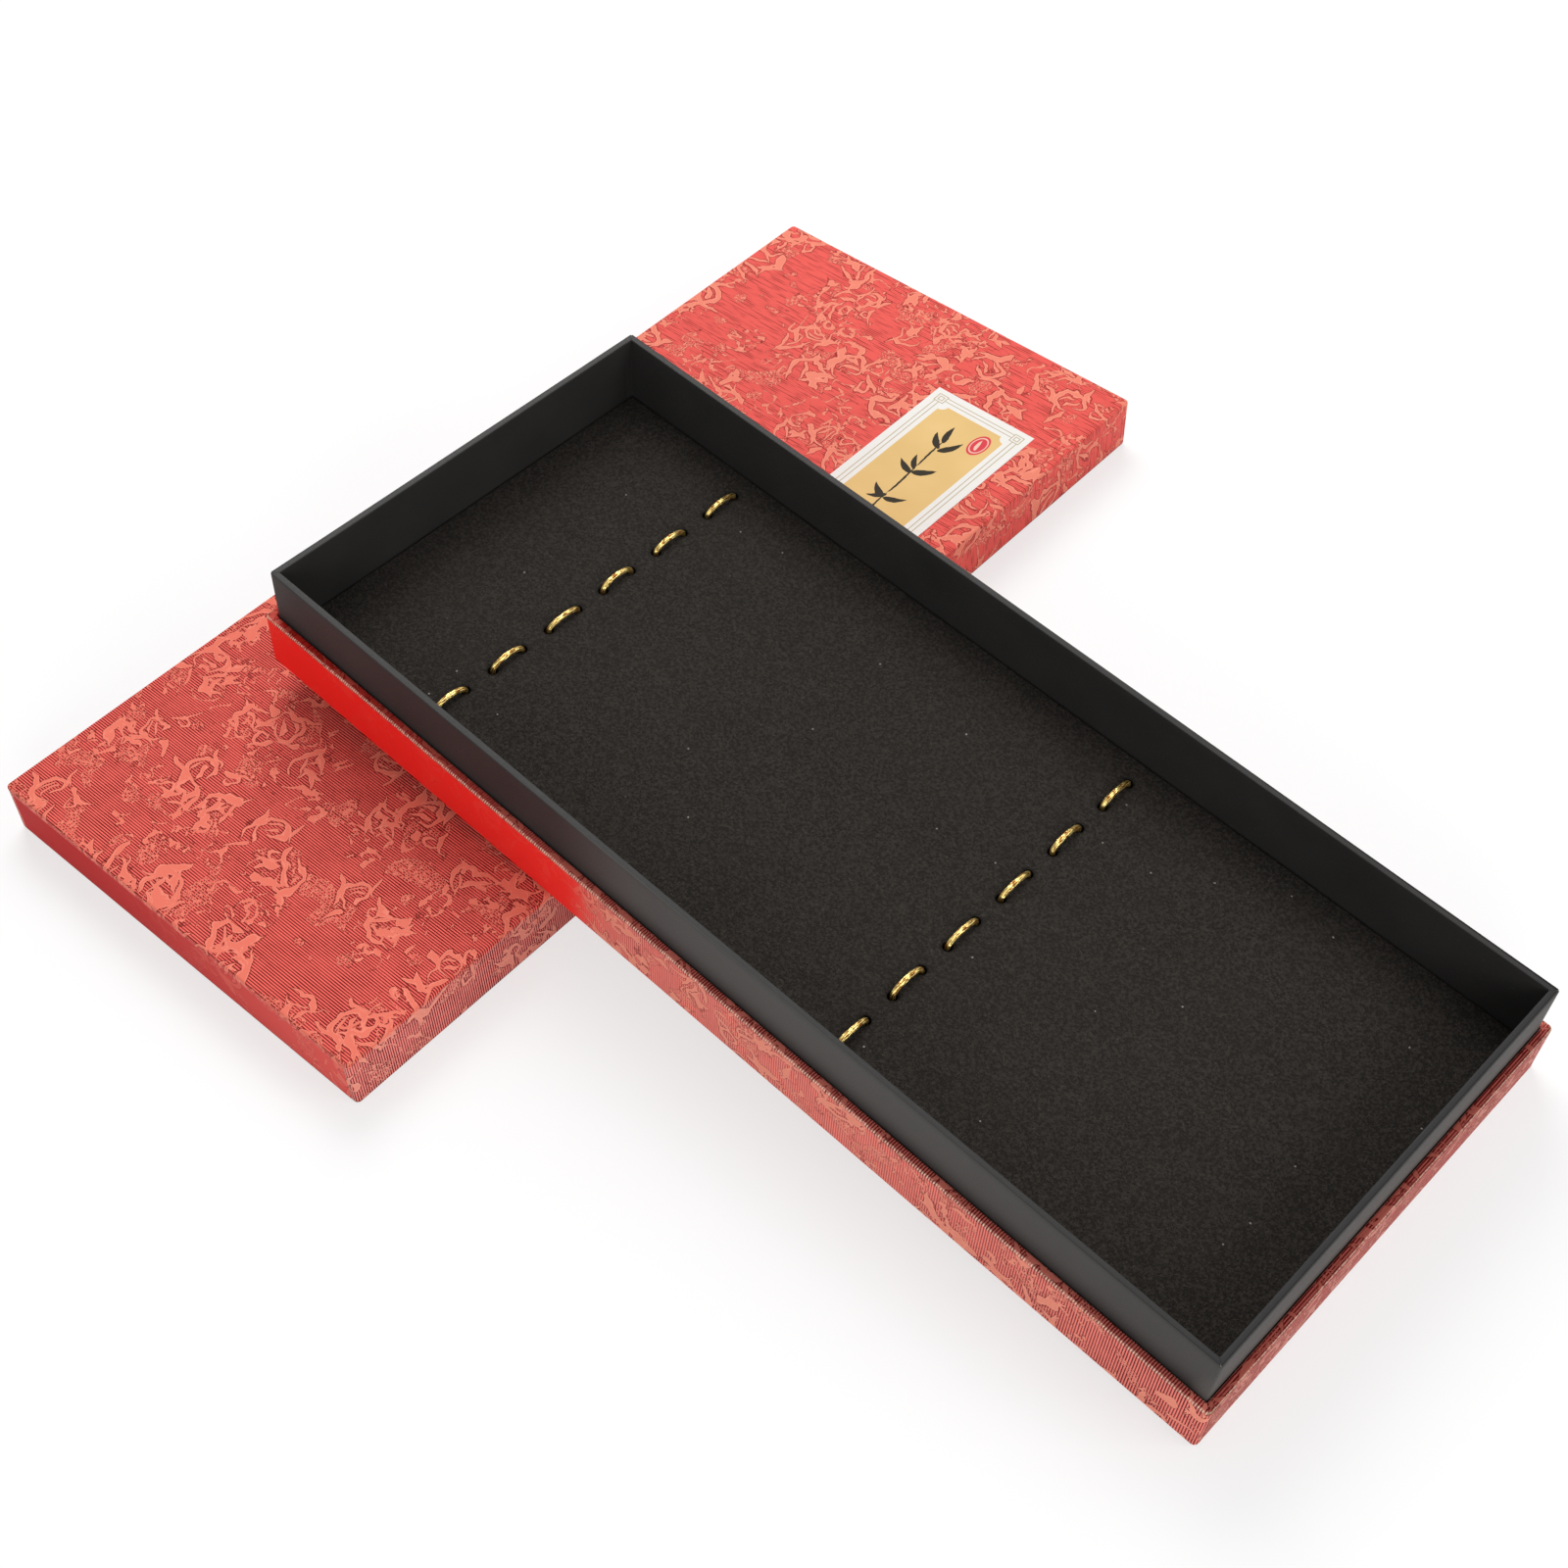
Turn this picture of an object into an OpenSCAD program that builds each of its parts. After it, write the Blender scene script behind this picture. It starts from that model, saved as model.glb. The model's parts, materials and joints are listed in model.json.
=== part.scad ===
// Shoulder box for calligraphy brushes, shown open: the lid lies flat with its top up and
// the tray lies across it, leaning on the lid's long edge with one end on the table.
// Millimetres, +Z up, origin on the table under the middle of the whole arrangement.

/* [Box] */
// Outside length of the lid and of the red base
box_l = 330; // [260:1:400]
// Outside width of the lid and of the red base
box_w = 142; // [110:1:190]
// Outside height of the red base
base_h = 18.5; // [15:0.5:24]
// Height of the neck's rim above the underside of the tray
tray_h = 36; // [30:0.5:50]
// Outside height of the lid
lid_h = 17.5; // [15:0.5:28]

/* [Board and paper] */
// Thickness of the greyboard in the base and the lid
board_t = 2; // [1.5:0.1:2.5]
// Thickness of the board that the neck is folded from
neck_board_t = 1.6; // [1:0.1:2.5]
// Thickness of the covering and lining papers
paper_t = 0.2; // [0.1:0.05:0.3]
// Thickness of the paper tape round each outer corner
tape_t = 0.1; // [0.05:0.05:0.2]
// Length of each leg of a corner tape
tape_leg = 14; // [8:1:25]
// Depth of the red paper turned in over a rim
turn_in = 10; // [5:0.5:11]
// Radius of the covered outer corners of the lid and the red base
corner_r = 1.4; // [0.7:0.1:2]
// Radius of the outer corners of the neck and the foam pad
neck_r = 0.8; // [0.5:0.1:1.5]
// Gap between the neck and the red paper turned in behind it
neck_gap = 0.2; // [0.1:0.05:0.5]

/* [Foam pad] */
// Thickness of the foam pad
pad_t = 11.5; // [9:0.5:16]
// Gap between the foam pad and the neck's walls
pad_gap = 0.3; // [0.2:0.1:1]
// Gap between the foam pad and the lined floor
pad_seat = 0.2; // [0.1:0.1:0.5]
// Least width of foam left between a knot's pocket and the pad's edge
pad_rim = 1.5; // [1:0.5:4]
// Depth of the dimple that the cord pulls round each hole
dimple_depth = 0.5; // [0.2:0.1:1]
// Width of the dimple beyond the hole's wall
dimple_flare = 1; // [0.5:0.1:1.5]

/* [Elastic cords] */
// Thickness of the elastic cord
cord_d = 1.6; // [1:0.1:2.4]
// Clearance round the cord in its holes and its channel
cord_clear = 0.7; // [0.4:0.1:1]
// Distance from one loop to the next
loop_pitch = 21; // [19:0.5:30]
// Distance between the two holes of a loop
loop_span = 11; // [8:0.5:13]
// Height of a loop's centreline above the pad
loop_rise = 1.5; // [1.5:0.1:8]
// Distance from the pad's raised end to the first row of loops
row_a_inset = 51; // [20:1:70]
// Distance from the pad's low end to the second row of loops
row_b_inset = 120; // [60:1:140]

/* [Label] */
// Length of the label on the lid
label_l = 100; // [60:1:130]
// Width of the label
label_w = 38; // [20:1:60]
// Thickness of the label
label_t = 0.15; // [0.1:0.05:0.3]
// Distance from the lid's end to the label
label_end = 33.7; // [10:0.1:80]
// Distance from the lid's long edge to the label
label_side = 12; // [5:0.5:30]

/* [Arrangement] */
// Sideways place of the tray's middle along the lid
tray_along = -24.5; // [-60:0.5:60]
// Distance from the lid's long edge out to the tray's middle
tray_out = 53; // [20:0.5:100]
// Turn of the tray away from square to the lid
tray_turn = 2.1; // [0:0.1:8]
// Gap between the leaning tray and the lid's edge
lean_gap = 0.2; // [0.1:0.1:0.5]

/* [Hidden] */

red = [0.76, 0.15, 0.16];
black = [0.09, 0.09, 0.10];
board_grey = [0.56, 0.53, 0.48];
tape_brown = [0.72, 0.60, 0.42];
foam_black = [0.14, 0.13, 0.13];
gold = [0.78, 0.60, 0.18];
label_cream = [0.93, 0.88, 0.76];

// Fine faces on round walls, and a sliver that lets a cut run past a face
$fn = 32;
cut = 1;

// Insets from the outside face of the box, going inwards
board_inset = paper_t + tape_t;
board_inner = board_inset + board_t;
turned_inner = board_inner + paper_t;
neck_inset = turned_inner + neck_gap;
neck_inner = neck_inset + 2 * paper_t + neck_board_t;
pad_inset = neck_inner + pad_gap;

// Heights above the underside of the tray
floor_z = paper_t + board_t;
lined_z = floor_z + paper_t;
pad_z = lined_z + pad_seat;
pad_top = pad_z + pad_t;
pad_l = box_l - 2 * pad_inset;
pad_w = box_w - 2 * pad_inset;

// The cord's holes, its channel under the pad and the knots at its ends
cord_r = cord_d / 2;
cord_bend = cord_d;
hole_d = cord_d + 2 * cord_clear;
under_z = pad_z + cord_r;
channel_h = cord_d + cord_clear;
knot_d = 2 * cord_d;
knot_r = knot_d / 2;
tail_l = cord_r;
knot_out = cord_bend + knot_r;
tail_out = knot_out + knot_r + tail_l;
pocket_out = tail_out + cord_clear;
pocket_w = knot_d + 2 * cord_clear;
pocket_h = knot_d + cord_clear;
arch_dip = cord_r;
row_room = pad_w - 2 * (pocket_out + pad_rim) - loop_span;
loops = 1 + floor(row_room / loop_pitch);
row_high = -pad_l / 2 + row_a_inset;
row_low = pad_l / 2 - row_b_inset;
cord_sides = 8;
arch_step = 30;
bend_step = 45;

// The lean: the tray's underside passes lean_gap over the lid's edge and its lowest corner
// touches the table. reach() is how far a round-cornered outline of the tray extends.
function reach(inset, r) =
    (box_l / 2 - inset - r) * cos(tray_turn) + (box_w / 2 - inset - r) * sin(tray_turn) + r;
function side_reach(inset, r) =
    (box_l / 2 - inset - r) * sin(tray_turn) + (box_w / 2 - inset - r) * cos(tray_turn) + r;
lean_z = lid_h + lean_gap;
lean = asin(lean_z / (tray_out + reach(0, corner_r)));
low_base = (tray_out + reach(0, corner_r)) * cos(lean) + base_h * sin(lean);
low_neck = (tray_out + reach(neck_inset, neck_r)) * cos(lean) + tray_h * sin(lean);
whole_low_y = -box_w / 2 - max(low_base, low_neck);
whole_high_y = max(box_w / 2, -box_w / 2 + (reach(0, corner_r) - tray_out) * cos(lean));
whole_low_x = min(-box_l / 2, tray_along - side_reach(0, corner_r));
whole_high_x = max(box_l / 2, tray_along + side_reach(0, corner_r));
centre_x = -(whole_low_x + whole_high_x) / 2;
centre_y = -(whole_low_y + whole_high_y) / 2;

// Places a piece that is drawn with the lid's middle over the origin
module in_lid() {
    translate([centre_x, centre_y, 0]) children();
}

// Places a piece of a shell whose closed face is drawn at z = 0, so that it opens downwards
module lid_turned_over() {
    in_lid() translate([0, 0, lid_h]) mirror([0, 0, 1]) children();
}

// Places a piece that is drawn with the middle of the tray's underside at the origin,
// X along the tray towards its low end
module in_tray() {
    translate([centre_x, centre_y - box_w / 2, lean_z])
        rotate([lean, 0, 0])
            translate([tray_along, -tray_out, 0])
                rotate([0, 0, -90 - tray_turn])
                    children();
}

// Outline of the box moved in from its outside face, with round corners
module outline(inset, r) {
    l = box_l - 2 * inset;
    w = box_w - 2 * inset;
    square([l - 2 * r, w], center = true);
    square([l, w - 2 * r], center = true);
    for (sx = [-1, 1], sy = [-1, 1])
        translate([sx * (l / 2 - r), sy * (w / 2 - r)]) circle(r);
}

// Outline with square corners, moved in from the outside face
module square_outline(inset) {
    square([box_l - 2 * inset, box_w - 2 * inset], center = true);
}

// One long wall board of a shell of height h, on the side that side names
module long_wall(h, side) {
    translate([0, 0, paper_t]) linear_extrude(h - 2 * paper_t)
        intersection() {
            outline(board_inset, corner_r - board_inset);
            translate([0, side * (box_w / 2 - board_inset - board_t / 2)])
                square([box_l, board_t], center = true);
        }
}

// One end wall board of a shell of height h, fitted between the long walls
module end_wall(h, side) {
    translate([side * (box_l / 2 - board_inset - board_t / 2), 0, h / 2])
        cube([board_t, box_w - 2 * board_inner, h - 2 * paper_t], center = true);
}

// The closed face's board, fitted inside the four walls
module face_board() {
    translate([0, 0, paper_t]) linear_extrude(board_t) square_outline(board_inner);
}

// Paper tape folded round each of the four outer corners of a shell of height h
module corner_tapes(h) {
    for (sx = [-1, 1], sy = [-1, 1])
        translate([0, 0, paper_t]) linear_extrude(h - 2 * paper_t)
            intersection() {
                difference() {
                    outline(paper_t, corner_r - paper_t);
                    outline(board_inset, corner_r - board_inset);
                }
                translate([sx * box_l / 2, sy * box_w / 2]) square(2 * tape_leg, center = true);
            }
}

// Covering paper of a shell of height h: over the closed face, up the four sides, over the
// rim and turned in behind the boards
module cover(h) {
    difference() {
        linear_extrude(h) outline(0, corner_r);
        translate([0, 0, paper_t]) linear_extrude(h - 2 * paper_t) outline(paper_t, corner_r - paper_t);
        translate([0, 0, h - paper_t - cut]) linear_extrude(paper_t + 2 * cut) square_outline(turned_inner);
    }
    translate([0, 0, h - turn_in]) linear_extrude(turn_in)
        difference() {
            square_outline(board_inner);
            square_outline(turned_inner);
        }
}

// One mitred wall of the neck. It is folded from a grooved strip, so its ends meet at 45 degrees
module neck_wall(axis_long, side) {
    half_l = box_l / 2 - neck_inset - paper_t;
    half_w = box_w / 2 - neck_inset - paper_t;
    t = neck_board_t;
    translate([0, 0, floor_z]) linear_extrude(tray_h - paper_t - floor_z)
        intersection() {
            outline(neck_inset + paper_t, neck_r - paper_t);
            if (axis_long)
                polygon([
                    [-half_l, side * half_w], [half_l, side * half_w],
                    [half_l - t, side * (half_w - t)], [-half_l + t, side * (half_w - t)]]);
            else
                polygon([
                    [side * half_l, -half_w], [side * half_l, half_w],
                    [side * (half_l - t), half_w - t], [side * (half_l - t), -half_w + t]]);
        }
}

module lid_top_board() {
    color(board_grey) lid_turned_over() face_board();
}

module lid_long_wall_near() {
    color(board_grey) lid_turned_over() long_wall(lid_h, -1);
}

module lid_long_wall_far() {
    color(board_grey) lid_turned_over() long_wall(lid_h, 1);
}

module lid_end_wall_left() {
    color(board_grey) lid_turned_over() end_wall(lid_h, -1);
}

module lid_end_wall_right() {
    color(board_grey) lid_turned_over() end_wall(lid_h, 1);
}

module lid_corner_tapes() {
    color(tape_brown) lid_turned_over() corner_tapes(lid_h);
}

module lid_wrap() {
    color(red) lid_turned_over() cover(lid_h);
}

// Paper inside the lid, with flaps up to the turned in edge
module lid_lining() {
    color(black) lid_turned_over() translate([0, 0, floor_z])
        difference() {
            linear_extrude(lid_h - floor_z - turn_in) square_outline(board_inner);
            translate([0, 0, paper_t]) linear_extrude(lid_h) square_outline(board_inner + paper_t);
        }
}

module lid_label() {
    color(label_cream) in_lid()
        translate([box_l / 2 - label_end - label_l, -box_w / 2 + label_side, lid_h])
            cube([label_l, label_w, label_t]);
}

module base_floor_board() {
    color(board_grey) in_tray() face_board();
}

module base_long_wall_left() {
    color(board_grey) in_tray() long_wall(base_h, -1);
}

module base_long_wall_right() {
    color(board_grey) in_tray() long_wall(base_h, 1);
}

module base_end_wall_high() {
    color(board_grey) in_tray() end_wall(base_h, -1);
}

module base_end_wall_low() {
    color(board_grey) in_tray() end_wall(base_h, 1);
}

module base_corner_tapes() {
    color(tape_brown) in_tray() corner_tapes(base_h);
}

module base_wrap() {
    color(red) in_tray() cover(base_h);
}

module neck_long_wall_left() {
    color(board_grey) in_tray() neck_wall(true, -1);
}

module neck_long_wall_right() {
    color(board_grey) in_tray() neck_wall(true, 1);
}

module neck_end_wall_high() {
    color(board_grey) in_tray() neck_wall(false, -1);
}

module neck_end_wall_low() {
    color(board_grey) in_tray() neck_wall(false, 1);
}

// Black paper down the neck's outside, over its rim and down its inside
module neck_wrap() {
    color(black) in_tray() translate([0, 0, floor_z])
        difference() {
            linear_extrude(tray_h - floor_z) outline(neck_inset, neck_r);
            translate([0, 0, -cut]) linear_extrude(tray_h + cut) square_outline(neck_inner);
            translate([0, 0, -cut]) linear_extrude(tray_h - floor_z - paper_t + cut)
                difference() {
                    outline(neck_inset + paper_t, neck_r - paper_t);
                    square_outline(neck_inner - paper_t);
                }
        }
}

module floor_lining() {
    color(black) in_tray() translate([0, 0, floor_z]) linear_extrude(paper_t) square_outline(neck_inner);
}

// Places of the loops along a row, and of the row's outermost holes
function loop_y(k) = (k - (loops - 1) / 2) * loop_pitch;
row_end = loop_y(loops - 1) + loop_span / 2;

// What a row of loops takes out of the pad: a dimpled hole for each end of each loop, a channel
// underneath for the runs between them, and a pocket for the knot at each end
module row_cuts() {
    for (k = [0:loops - 1], s = [-1, 1])
        translate([0, loop_y(k) + s * loop_span / 2, 0]) {
            translate([0, 0, pad_z - cut]) cylinder(d = hole_d, h = pad_t + 2 * cut);
            translate([0, 0, pad_top - dimple_depth])
                cylinder(d1 = hole_d, d2 = hole_d + 4 * dimple_flare, h = 2 * dimple_depth);
        }
    translate([-hole_d / 2, -row_end, pad_z - cut]) cube([hole_d, 2 * row_end, channel_h + cut]);
    for (s = [-1, 1])
        translate([0, s * (row_end + pocket_out / 2), pad_z - cut + (pocket_h + cut) / 2])
            cube([pocket_w, pocket_out, pocket_h + cut], center = true);
}

module foam_pad() {
    color(foam_black) in_tray()
        difference() {
            translate([0, 0, pad_z]) linear_extrude(pad_t) outline(pad_inset, neck_r);
            for (x = [row_high, row_low]) translate([x, 0, 0]) row_cuts();
        }
}

// The cord's route is drawn in the plane of its row. Each point is [y, z, radius].
// A quarter bend between the run under the pad and a hole: turn is 1 going up, -1 coming down
function bend(y, turn) = [
    for (a = [0:bend_step:90])
        let (b = turn > 0 ? a : 90 - a)
        [y - turn * cord_bend * (1 - sin(b)), under_z + cord_bend * (1 - cos(b)), cord_r]];
// The loop itself, half an ellipse that starts a little inside the holes
function arch(y) = [
    for (a = [180:-arch_step:0])
        [y + loop_span / 2 * cos(a), pad_top - arch_dip + (loop_rise + arch_dip) * sin(a), cord_r]];
function stitch(y) = concat(bend(y - loop_span / 2, 1), arch(y), bend(y + loop_span / 2, -1));
// The knot and the tail beyond a row's last hole, from the hole outwards
function knot(side) = [
    for (q = [[-1, cord_r], [-0.7, 0.75 * knot_r], [0, knot_r], [0.7, 0.75 * knot_r], [1, cord_r]])
        [side * (row_end + knot_out + q[0] * knot_r), pad_z + knot_r, q[1]]];
function tail(side) = [[side * (row_end + tail_out), pad_z + knot_r, cord_r]];
function backwards(v) = [for (i = [len(v) - 1:-1:0]) v[i]];
function route() = concat(
    tail(-1), backwards(knot(-1)),
    [for (k = [0:loops - 1]) each stitch(loop_y(k))],
    knot(1), tail(1));

// Tube swept along a route that stays in one plane
module cord(x) {
    path = route();
    n = len(path);
    s = cord_sides;
    points = [
        for (i = [0:n - 1])
            let (
                a = path[max(i - 1, 0)],
                b = path[min(i + 1, n - 1)],
                along = [b[0] - a[0], b[1] - a[1]] / norm([b[0] - a[0], b[1] - a[1]]))
            for (j = [0:s - 1])
                let (u = cos(360 * j / s), v = sin(360 * j / s), r = path[i][2])
                [x + r * u, path[i][0] - r * v * along[1], path[i][1] + r * v * along[0]]];
    walls = [
        for (i = [0:n - 2], j = [0:s - 1])
            let (p = i * s + j, q = i * s + (j + 1) % s)
            each [[p, q, p + s], [q, q + s, p + s]]];
    caps = [
        for (j = [1:s - 2])
            each [[0, j + 1, j], [(n - 1) * s, (n - 1) * s + j, (n - 1) * s + j + 1]]];
    polyhedron(points, concat(walls, caps));
}

module elastic_cord_high() {
    color(gold) in_tray() cord(row_high);
}

module elastic_cord_low() {
    color(gold) in_tray() cord(row_low);
}

lid_top_board();
lid_long_wall_near();
lid_long_wall_far();
lid_end_wall_left();
lid_end_wall_right();
lid_corner_tapes();
lid_wrap();
lid_lining();
lid_label();
base_floor_board();
base_long_wall_left();
base_long_wall_right();
base_end_wall_high();
base_end_wall_low();
base_corner_tapes();
base_wrap();
neck_long_wall_left();
neck_long_wall_right();
neck_end_wall_high();
neck_end_wall_low();
neck_wrap();
floor_lining();
foam_pad();
elastic_cord_high();
elastic_cord_low();
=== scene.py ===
import json
from math import asin, atan2, copysign, cos, hypot, pi, radians, sin

import bpy
from mathutils import Matrix, Vector, noise
from mathutils.geometry import delaunay_2d_cdt


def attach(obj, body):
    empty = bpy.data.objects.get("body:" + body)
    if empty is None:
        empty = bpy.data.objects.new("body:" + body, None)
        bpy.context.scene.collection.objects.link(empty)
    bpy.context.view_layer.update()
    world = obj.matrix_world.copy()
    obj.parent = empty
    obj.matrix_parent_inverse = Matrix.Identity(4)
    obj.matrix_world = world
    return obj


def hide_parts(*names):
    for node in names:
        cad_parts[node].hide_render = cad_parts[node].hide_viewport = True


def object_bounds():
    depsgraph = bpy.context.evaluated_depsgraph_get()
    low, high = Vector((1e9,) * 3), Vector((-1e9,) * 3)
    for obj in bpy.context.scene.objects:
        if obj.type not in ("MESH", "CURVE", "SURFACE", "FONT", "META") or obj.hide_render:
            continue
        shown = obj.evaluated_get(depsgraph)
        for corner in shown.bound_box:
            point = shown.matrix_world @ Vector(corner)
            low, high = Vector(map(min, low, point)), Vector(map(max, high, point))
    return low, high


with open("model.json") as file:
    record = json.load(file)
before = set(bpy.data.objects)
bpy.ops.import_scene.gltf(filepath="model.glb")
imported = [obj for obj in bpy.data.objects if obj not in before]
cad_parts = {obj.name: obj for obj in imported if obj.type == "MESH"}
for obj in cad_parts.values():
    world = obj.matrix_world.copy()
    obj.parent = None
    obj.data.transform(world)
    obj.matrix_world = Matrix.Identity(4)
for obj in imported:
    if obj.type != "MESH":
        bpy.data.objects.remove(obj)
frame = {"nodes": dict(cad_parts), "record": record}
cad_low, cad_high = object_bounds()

# Sizes of the part in millimetres. Scene lengths are metres, so meshes are scaled by MM
MM = 0.001
BOX_L, BOX_W = 330, 142
BASE_H, TRAY_H, LID_H = 18.5, 36, 17.5
PAPER, TAPE, BOARD, NECK_BOARD = 0.2, 0.1, 2, 1.6
TURN_IN, CORNER_R, NECK_R, NECK_GAP = 10, 1.4, 0.8, 0.2
TRAY_ALONG, TRAY_OUT, TRAY_TURN, LEAN_GAP = -24.5, 53, radians(2.1), 0.2
TURNED_INNER = PAPER + TAPE + BOARD + PAPER
NECK_INSET = TURNED_INNER + NECK_GAP
NECK_INNER = NECK_INSET + 2 * PAPER + NECK_BOARD
FLOOR_Z = PAPER + BOARD

# The foam pad and the cords woven through it
PAD_T, PAD_GAP, PAD_SEAT = 11.5, 0.3, 0.2
PAD_INSET = NECK_INNER + PAD_GAP
PAD_Z = FLOOR_Z + PAPER + PAD_SEAT
PAD_TOP = PAD_Z + PAD_T
PAD_HALF_L, PAD_HALF_W = BOX_L / 2 - PAD_INSET, BOX_W / 2 - PAD_INSET
CORD_R, CORD_CLEAR = 0.8, 0.7
HOLE_R = CORD_R + CORD_CLEAR
DIMPLE = 0.5
LOOPS, LOOP_PITCH, LOOP_SPAN, LOOP_RISE = 6, 21, 11, 1.5
ROW_HIGH, ROW_LOW = -PAD_HALF_L + 51, PAD_HALF_L - 120
KNOT_R = 2 * CORD_R
LOOP_MIDDLES = [(k - (LOOPS - 1) / 2) * LOOP_PITCH for k in range(LOOPS)]
HOLES = [(x, y + s * LOOP_SPAN / 2) for x in (ROW_HIGH, ROW_LOW) for y in LOOP_MIDDLES for s in (-1, 1)]

# How far the tray leans, and the places of the lid and the tray in the row frame
REACH = (BOX_L / 2 - CORNER_R) * cos(TRAY_TURN) + (BOX_W / 2 - CORNER_R) * sin(TRAY_TURN) + CORNER_R
LEAN = asin((LID_H + LEAN_GAP) / (TRAY_OUT + REACH))
LID_Y = cad_high.y / MM - BOX_W / 2


def moved(x, y, z):
    return Matrix.Translation(Vector((x, y, z)) * MM)


# The lid is drawn closed face down and then turned over about its long axis
LID = moved(0, LID_Y, LID_H) @ Matrix.Rotation(pi, 4, "X")
TRAY = (moved(0, LID_Y - BOX_W / 2, LID_H + LEAN_GAP) @ Matrix.Rotation(LEAN, 4, "X")
        @ moved(TRAY_ALONG, -TRAY_OUT, 0) @ Matrix.Rotation(-pi / 2 - TRAY_TURN, 4, "Z"))


class Graph:
    """Short ways to add nodes to one node tree."""

    def __init__(self, tree):
        self.tree = tree

    def add(self, kind, inputs=None, **settings):
        node = self.tree.nodes.new(kind)
        for key, value in settings.items():
            setattr(node, key, value)
        for key, value in (inputs or {}).items():
            self.feed(node.inputs[key], value)
        return node

    def feed(self, socket, value):
        if isinstance(value, bpy.types.NodeSocket):
            self.tree.links.new(value, socket)
        else:
            socket.default_value = value

    def math(self, operation, a, b=0.0, c=0.0, clamp=False):
        node = self.add("ShaderNodeMath", operation=operation, use_clamp=clamp)
        for socket, value in zip(node.inputs, (a, b, c)):
            self.feed(socket, value)
        return node.outputs[0]

    def times(self, a, b, plus=None):
        """The product of two numbers, with a third one added if it is given."""
        if plus is None:
            return self.math("MULTIPLY", a, b)
        return self.math("MULTIPLY_ADD", a, b, plus)

    def minus(self, a, b, clamp=False):
        return self.math("SUBTRACT", a, b, clamp=clamp)

    def apart(self, a, b):
        """How far apart two numbers are."""
        return self.math("ABSOLUTE", self.minus(a, b))

    def length(self, x, y):
        return self.math("SQRT", self.math("ADD", self.times(x, x), self.times(y, y)))

    def vector(self, operation, a, b=(0, 0, 0)):
        node = self.add("ShaderNodeVectorMath", operation=operation)
        self.feed(node.inputs[0], a)
        if operation == "SCALE":
            self.feed(node.inputs["Scale"], b)
        else:
            self.feed(node.inputs[1], b)
        return node.outputs["Vector"]

    def split(self, vector):
        return self.add("ShaderNodeSeparateXYZ", {0: vector}).outputs

    def join(self, x=0.0, y=0.0, z=0.0):
        return self.add("ShaderNodeCombineXYZ", {0: x, 1: y, 2: z}).outputs[0]

    def turn(self, vector, angle):
        return self.add("ShaderNodeVectorRotate", {"Vector": vector, "Angle": angle},
                        rotation_type="Z_AXIS").outputs[0]

    def noise(self, vector, size, detail=2.0, rough=0.5, colour=False):
        """Noise from 0 to 1 whose lumps are about size millimetres wide."""
        node = self.add("ShaderNodeTexNoise",
                        {"Vector": vector, "Scale": 1 / size, "Detail": detail, "Roughness": rough})
        return node.outputs["Color" if colour else "Fac"]

    def jitter(self, vector, size, detail):
        """Vectors of noise, up to a half either way."""
        return self.vector("SUBTRACT", self.noise(vector, size, detail, colour=True), (0.5, 0.5, 0.5))

    def cells(self, vector, size, spread=0.6):
        """Random cells about size millimetres wide, on a flat sheet."""
        return self.add("ShaderNodeTexVoronoi", {"Vector": vector, "Scale": 1 / size, "Randomness": spread},
                        voronoi_dimensions="2D").outputs

    def ramp(self, value, low, high, out_low=0.0, out_high=1.0):
        """Maps value from low..high to out_low..out_high with soft ends."""
        node = self.add("ShaderNodeMapRange", interpolation_type="SMOOTHSTEP")
        for socket, item in zip(node.inputs, (value, low, high, out_low, out_high)):
            self.feed(socket, item)
        return node.outputs[0]

    def mix(self, share, a, b):
        node = self.add("ShaderNodeMix", data_type="RGBA")
        self.feed(node.inputs[0], share)
        self.feed(node.inputs[6], a)
        self.feed(node.inputs[7], b)
        return node.outputs[2]

    def most(self, best, *others):
        """The greatest of several values."""
        for value in others:
            best = self.math("MAXIMUM", best, value)
        return best

    def least(self, a, b):
        return self.math("MINIMUM", a, b)


def new_group(name, *sockets):
    """A node group with number inputs after its Vector, which gives a depth."""
    tree = bpy.data.node_groups.new(name, "ShaderNodeTree")
    tree.interface.new_socket("Vector", in_out="INPUT", socket_type="NodeSocketVector")
    for socket in sockets:
        tree.interface.new_socket(socket, in_out="INPUT", socket_type="NodeSocketFloat")
    tree.interface.new_socket("Depth", in_out="OUTPUT", socket_type="NodeSocketFloat")
    start = tree.nodes.new("NodeGroupInput").outputs
    end = tree.nodes.new("NodeGroupOutput").inputs
    return tree, Graph(tree), start, end


# Share times rest is a quarter at a dab's middle, and its taper is 1 / 2.6 where it is widest
BOW_FACTOR, TAPER_FACTOR = 4.0, 1.3
# A curl's radius shrinks by this share on its way round, and its line is this much thinner
CURL_IN, CURL_THIN = 0.55, 0.12


def stroke_place(g, start):
    """A point in the coordinates of a stroke that is turned by its angle."""
    local = g.vector("SUBTRACT", start["Vector"], g.join(start["X"], start["Y"]))
    return g.split(g.turn(local, g.times(start["Angle"], -1.0)))


def brush_dab():
    """One brush dab: how deep a point lies inside it, in millimetres. Blunt start, thin end."""
    tree, g, start, end = new_group("brush_dab", "X", "Y", "Angle", "Length", "Bend", "Width")
    along, across, _ = stroke_place(g, start)
    share = g.math("DIVIDE", along, start["Length"], clamp=True)
    rest = g.minus(1.0, share)
    bow = g.times(g.times(share, rest), start["Bend"])
    taper = g.times(g.math("SQRT", share), rest)
    half = g.times(taper, g.times(start["Width"], TAPER_FACTOR))
    off = g.apart(across, g.times(bow, BOW_FACTOR))
    end_out = g.apart(along, g.times(share, start["Length"]))
    g.feed(end[0], g.minus(g.minus(half, off), end_out))
    return tree


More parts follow.
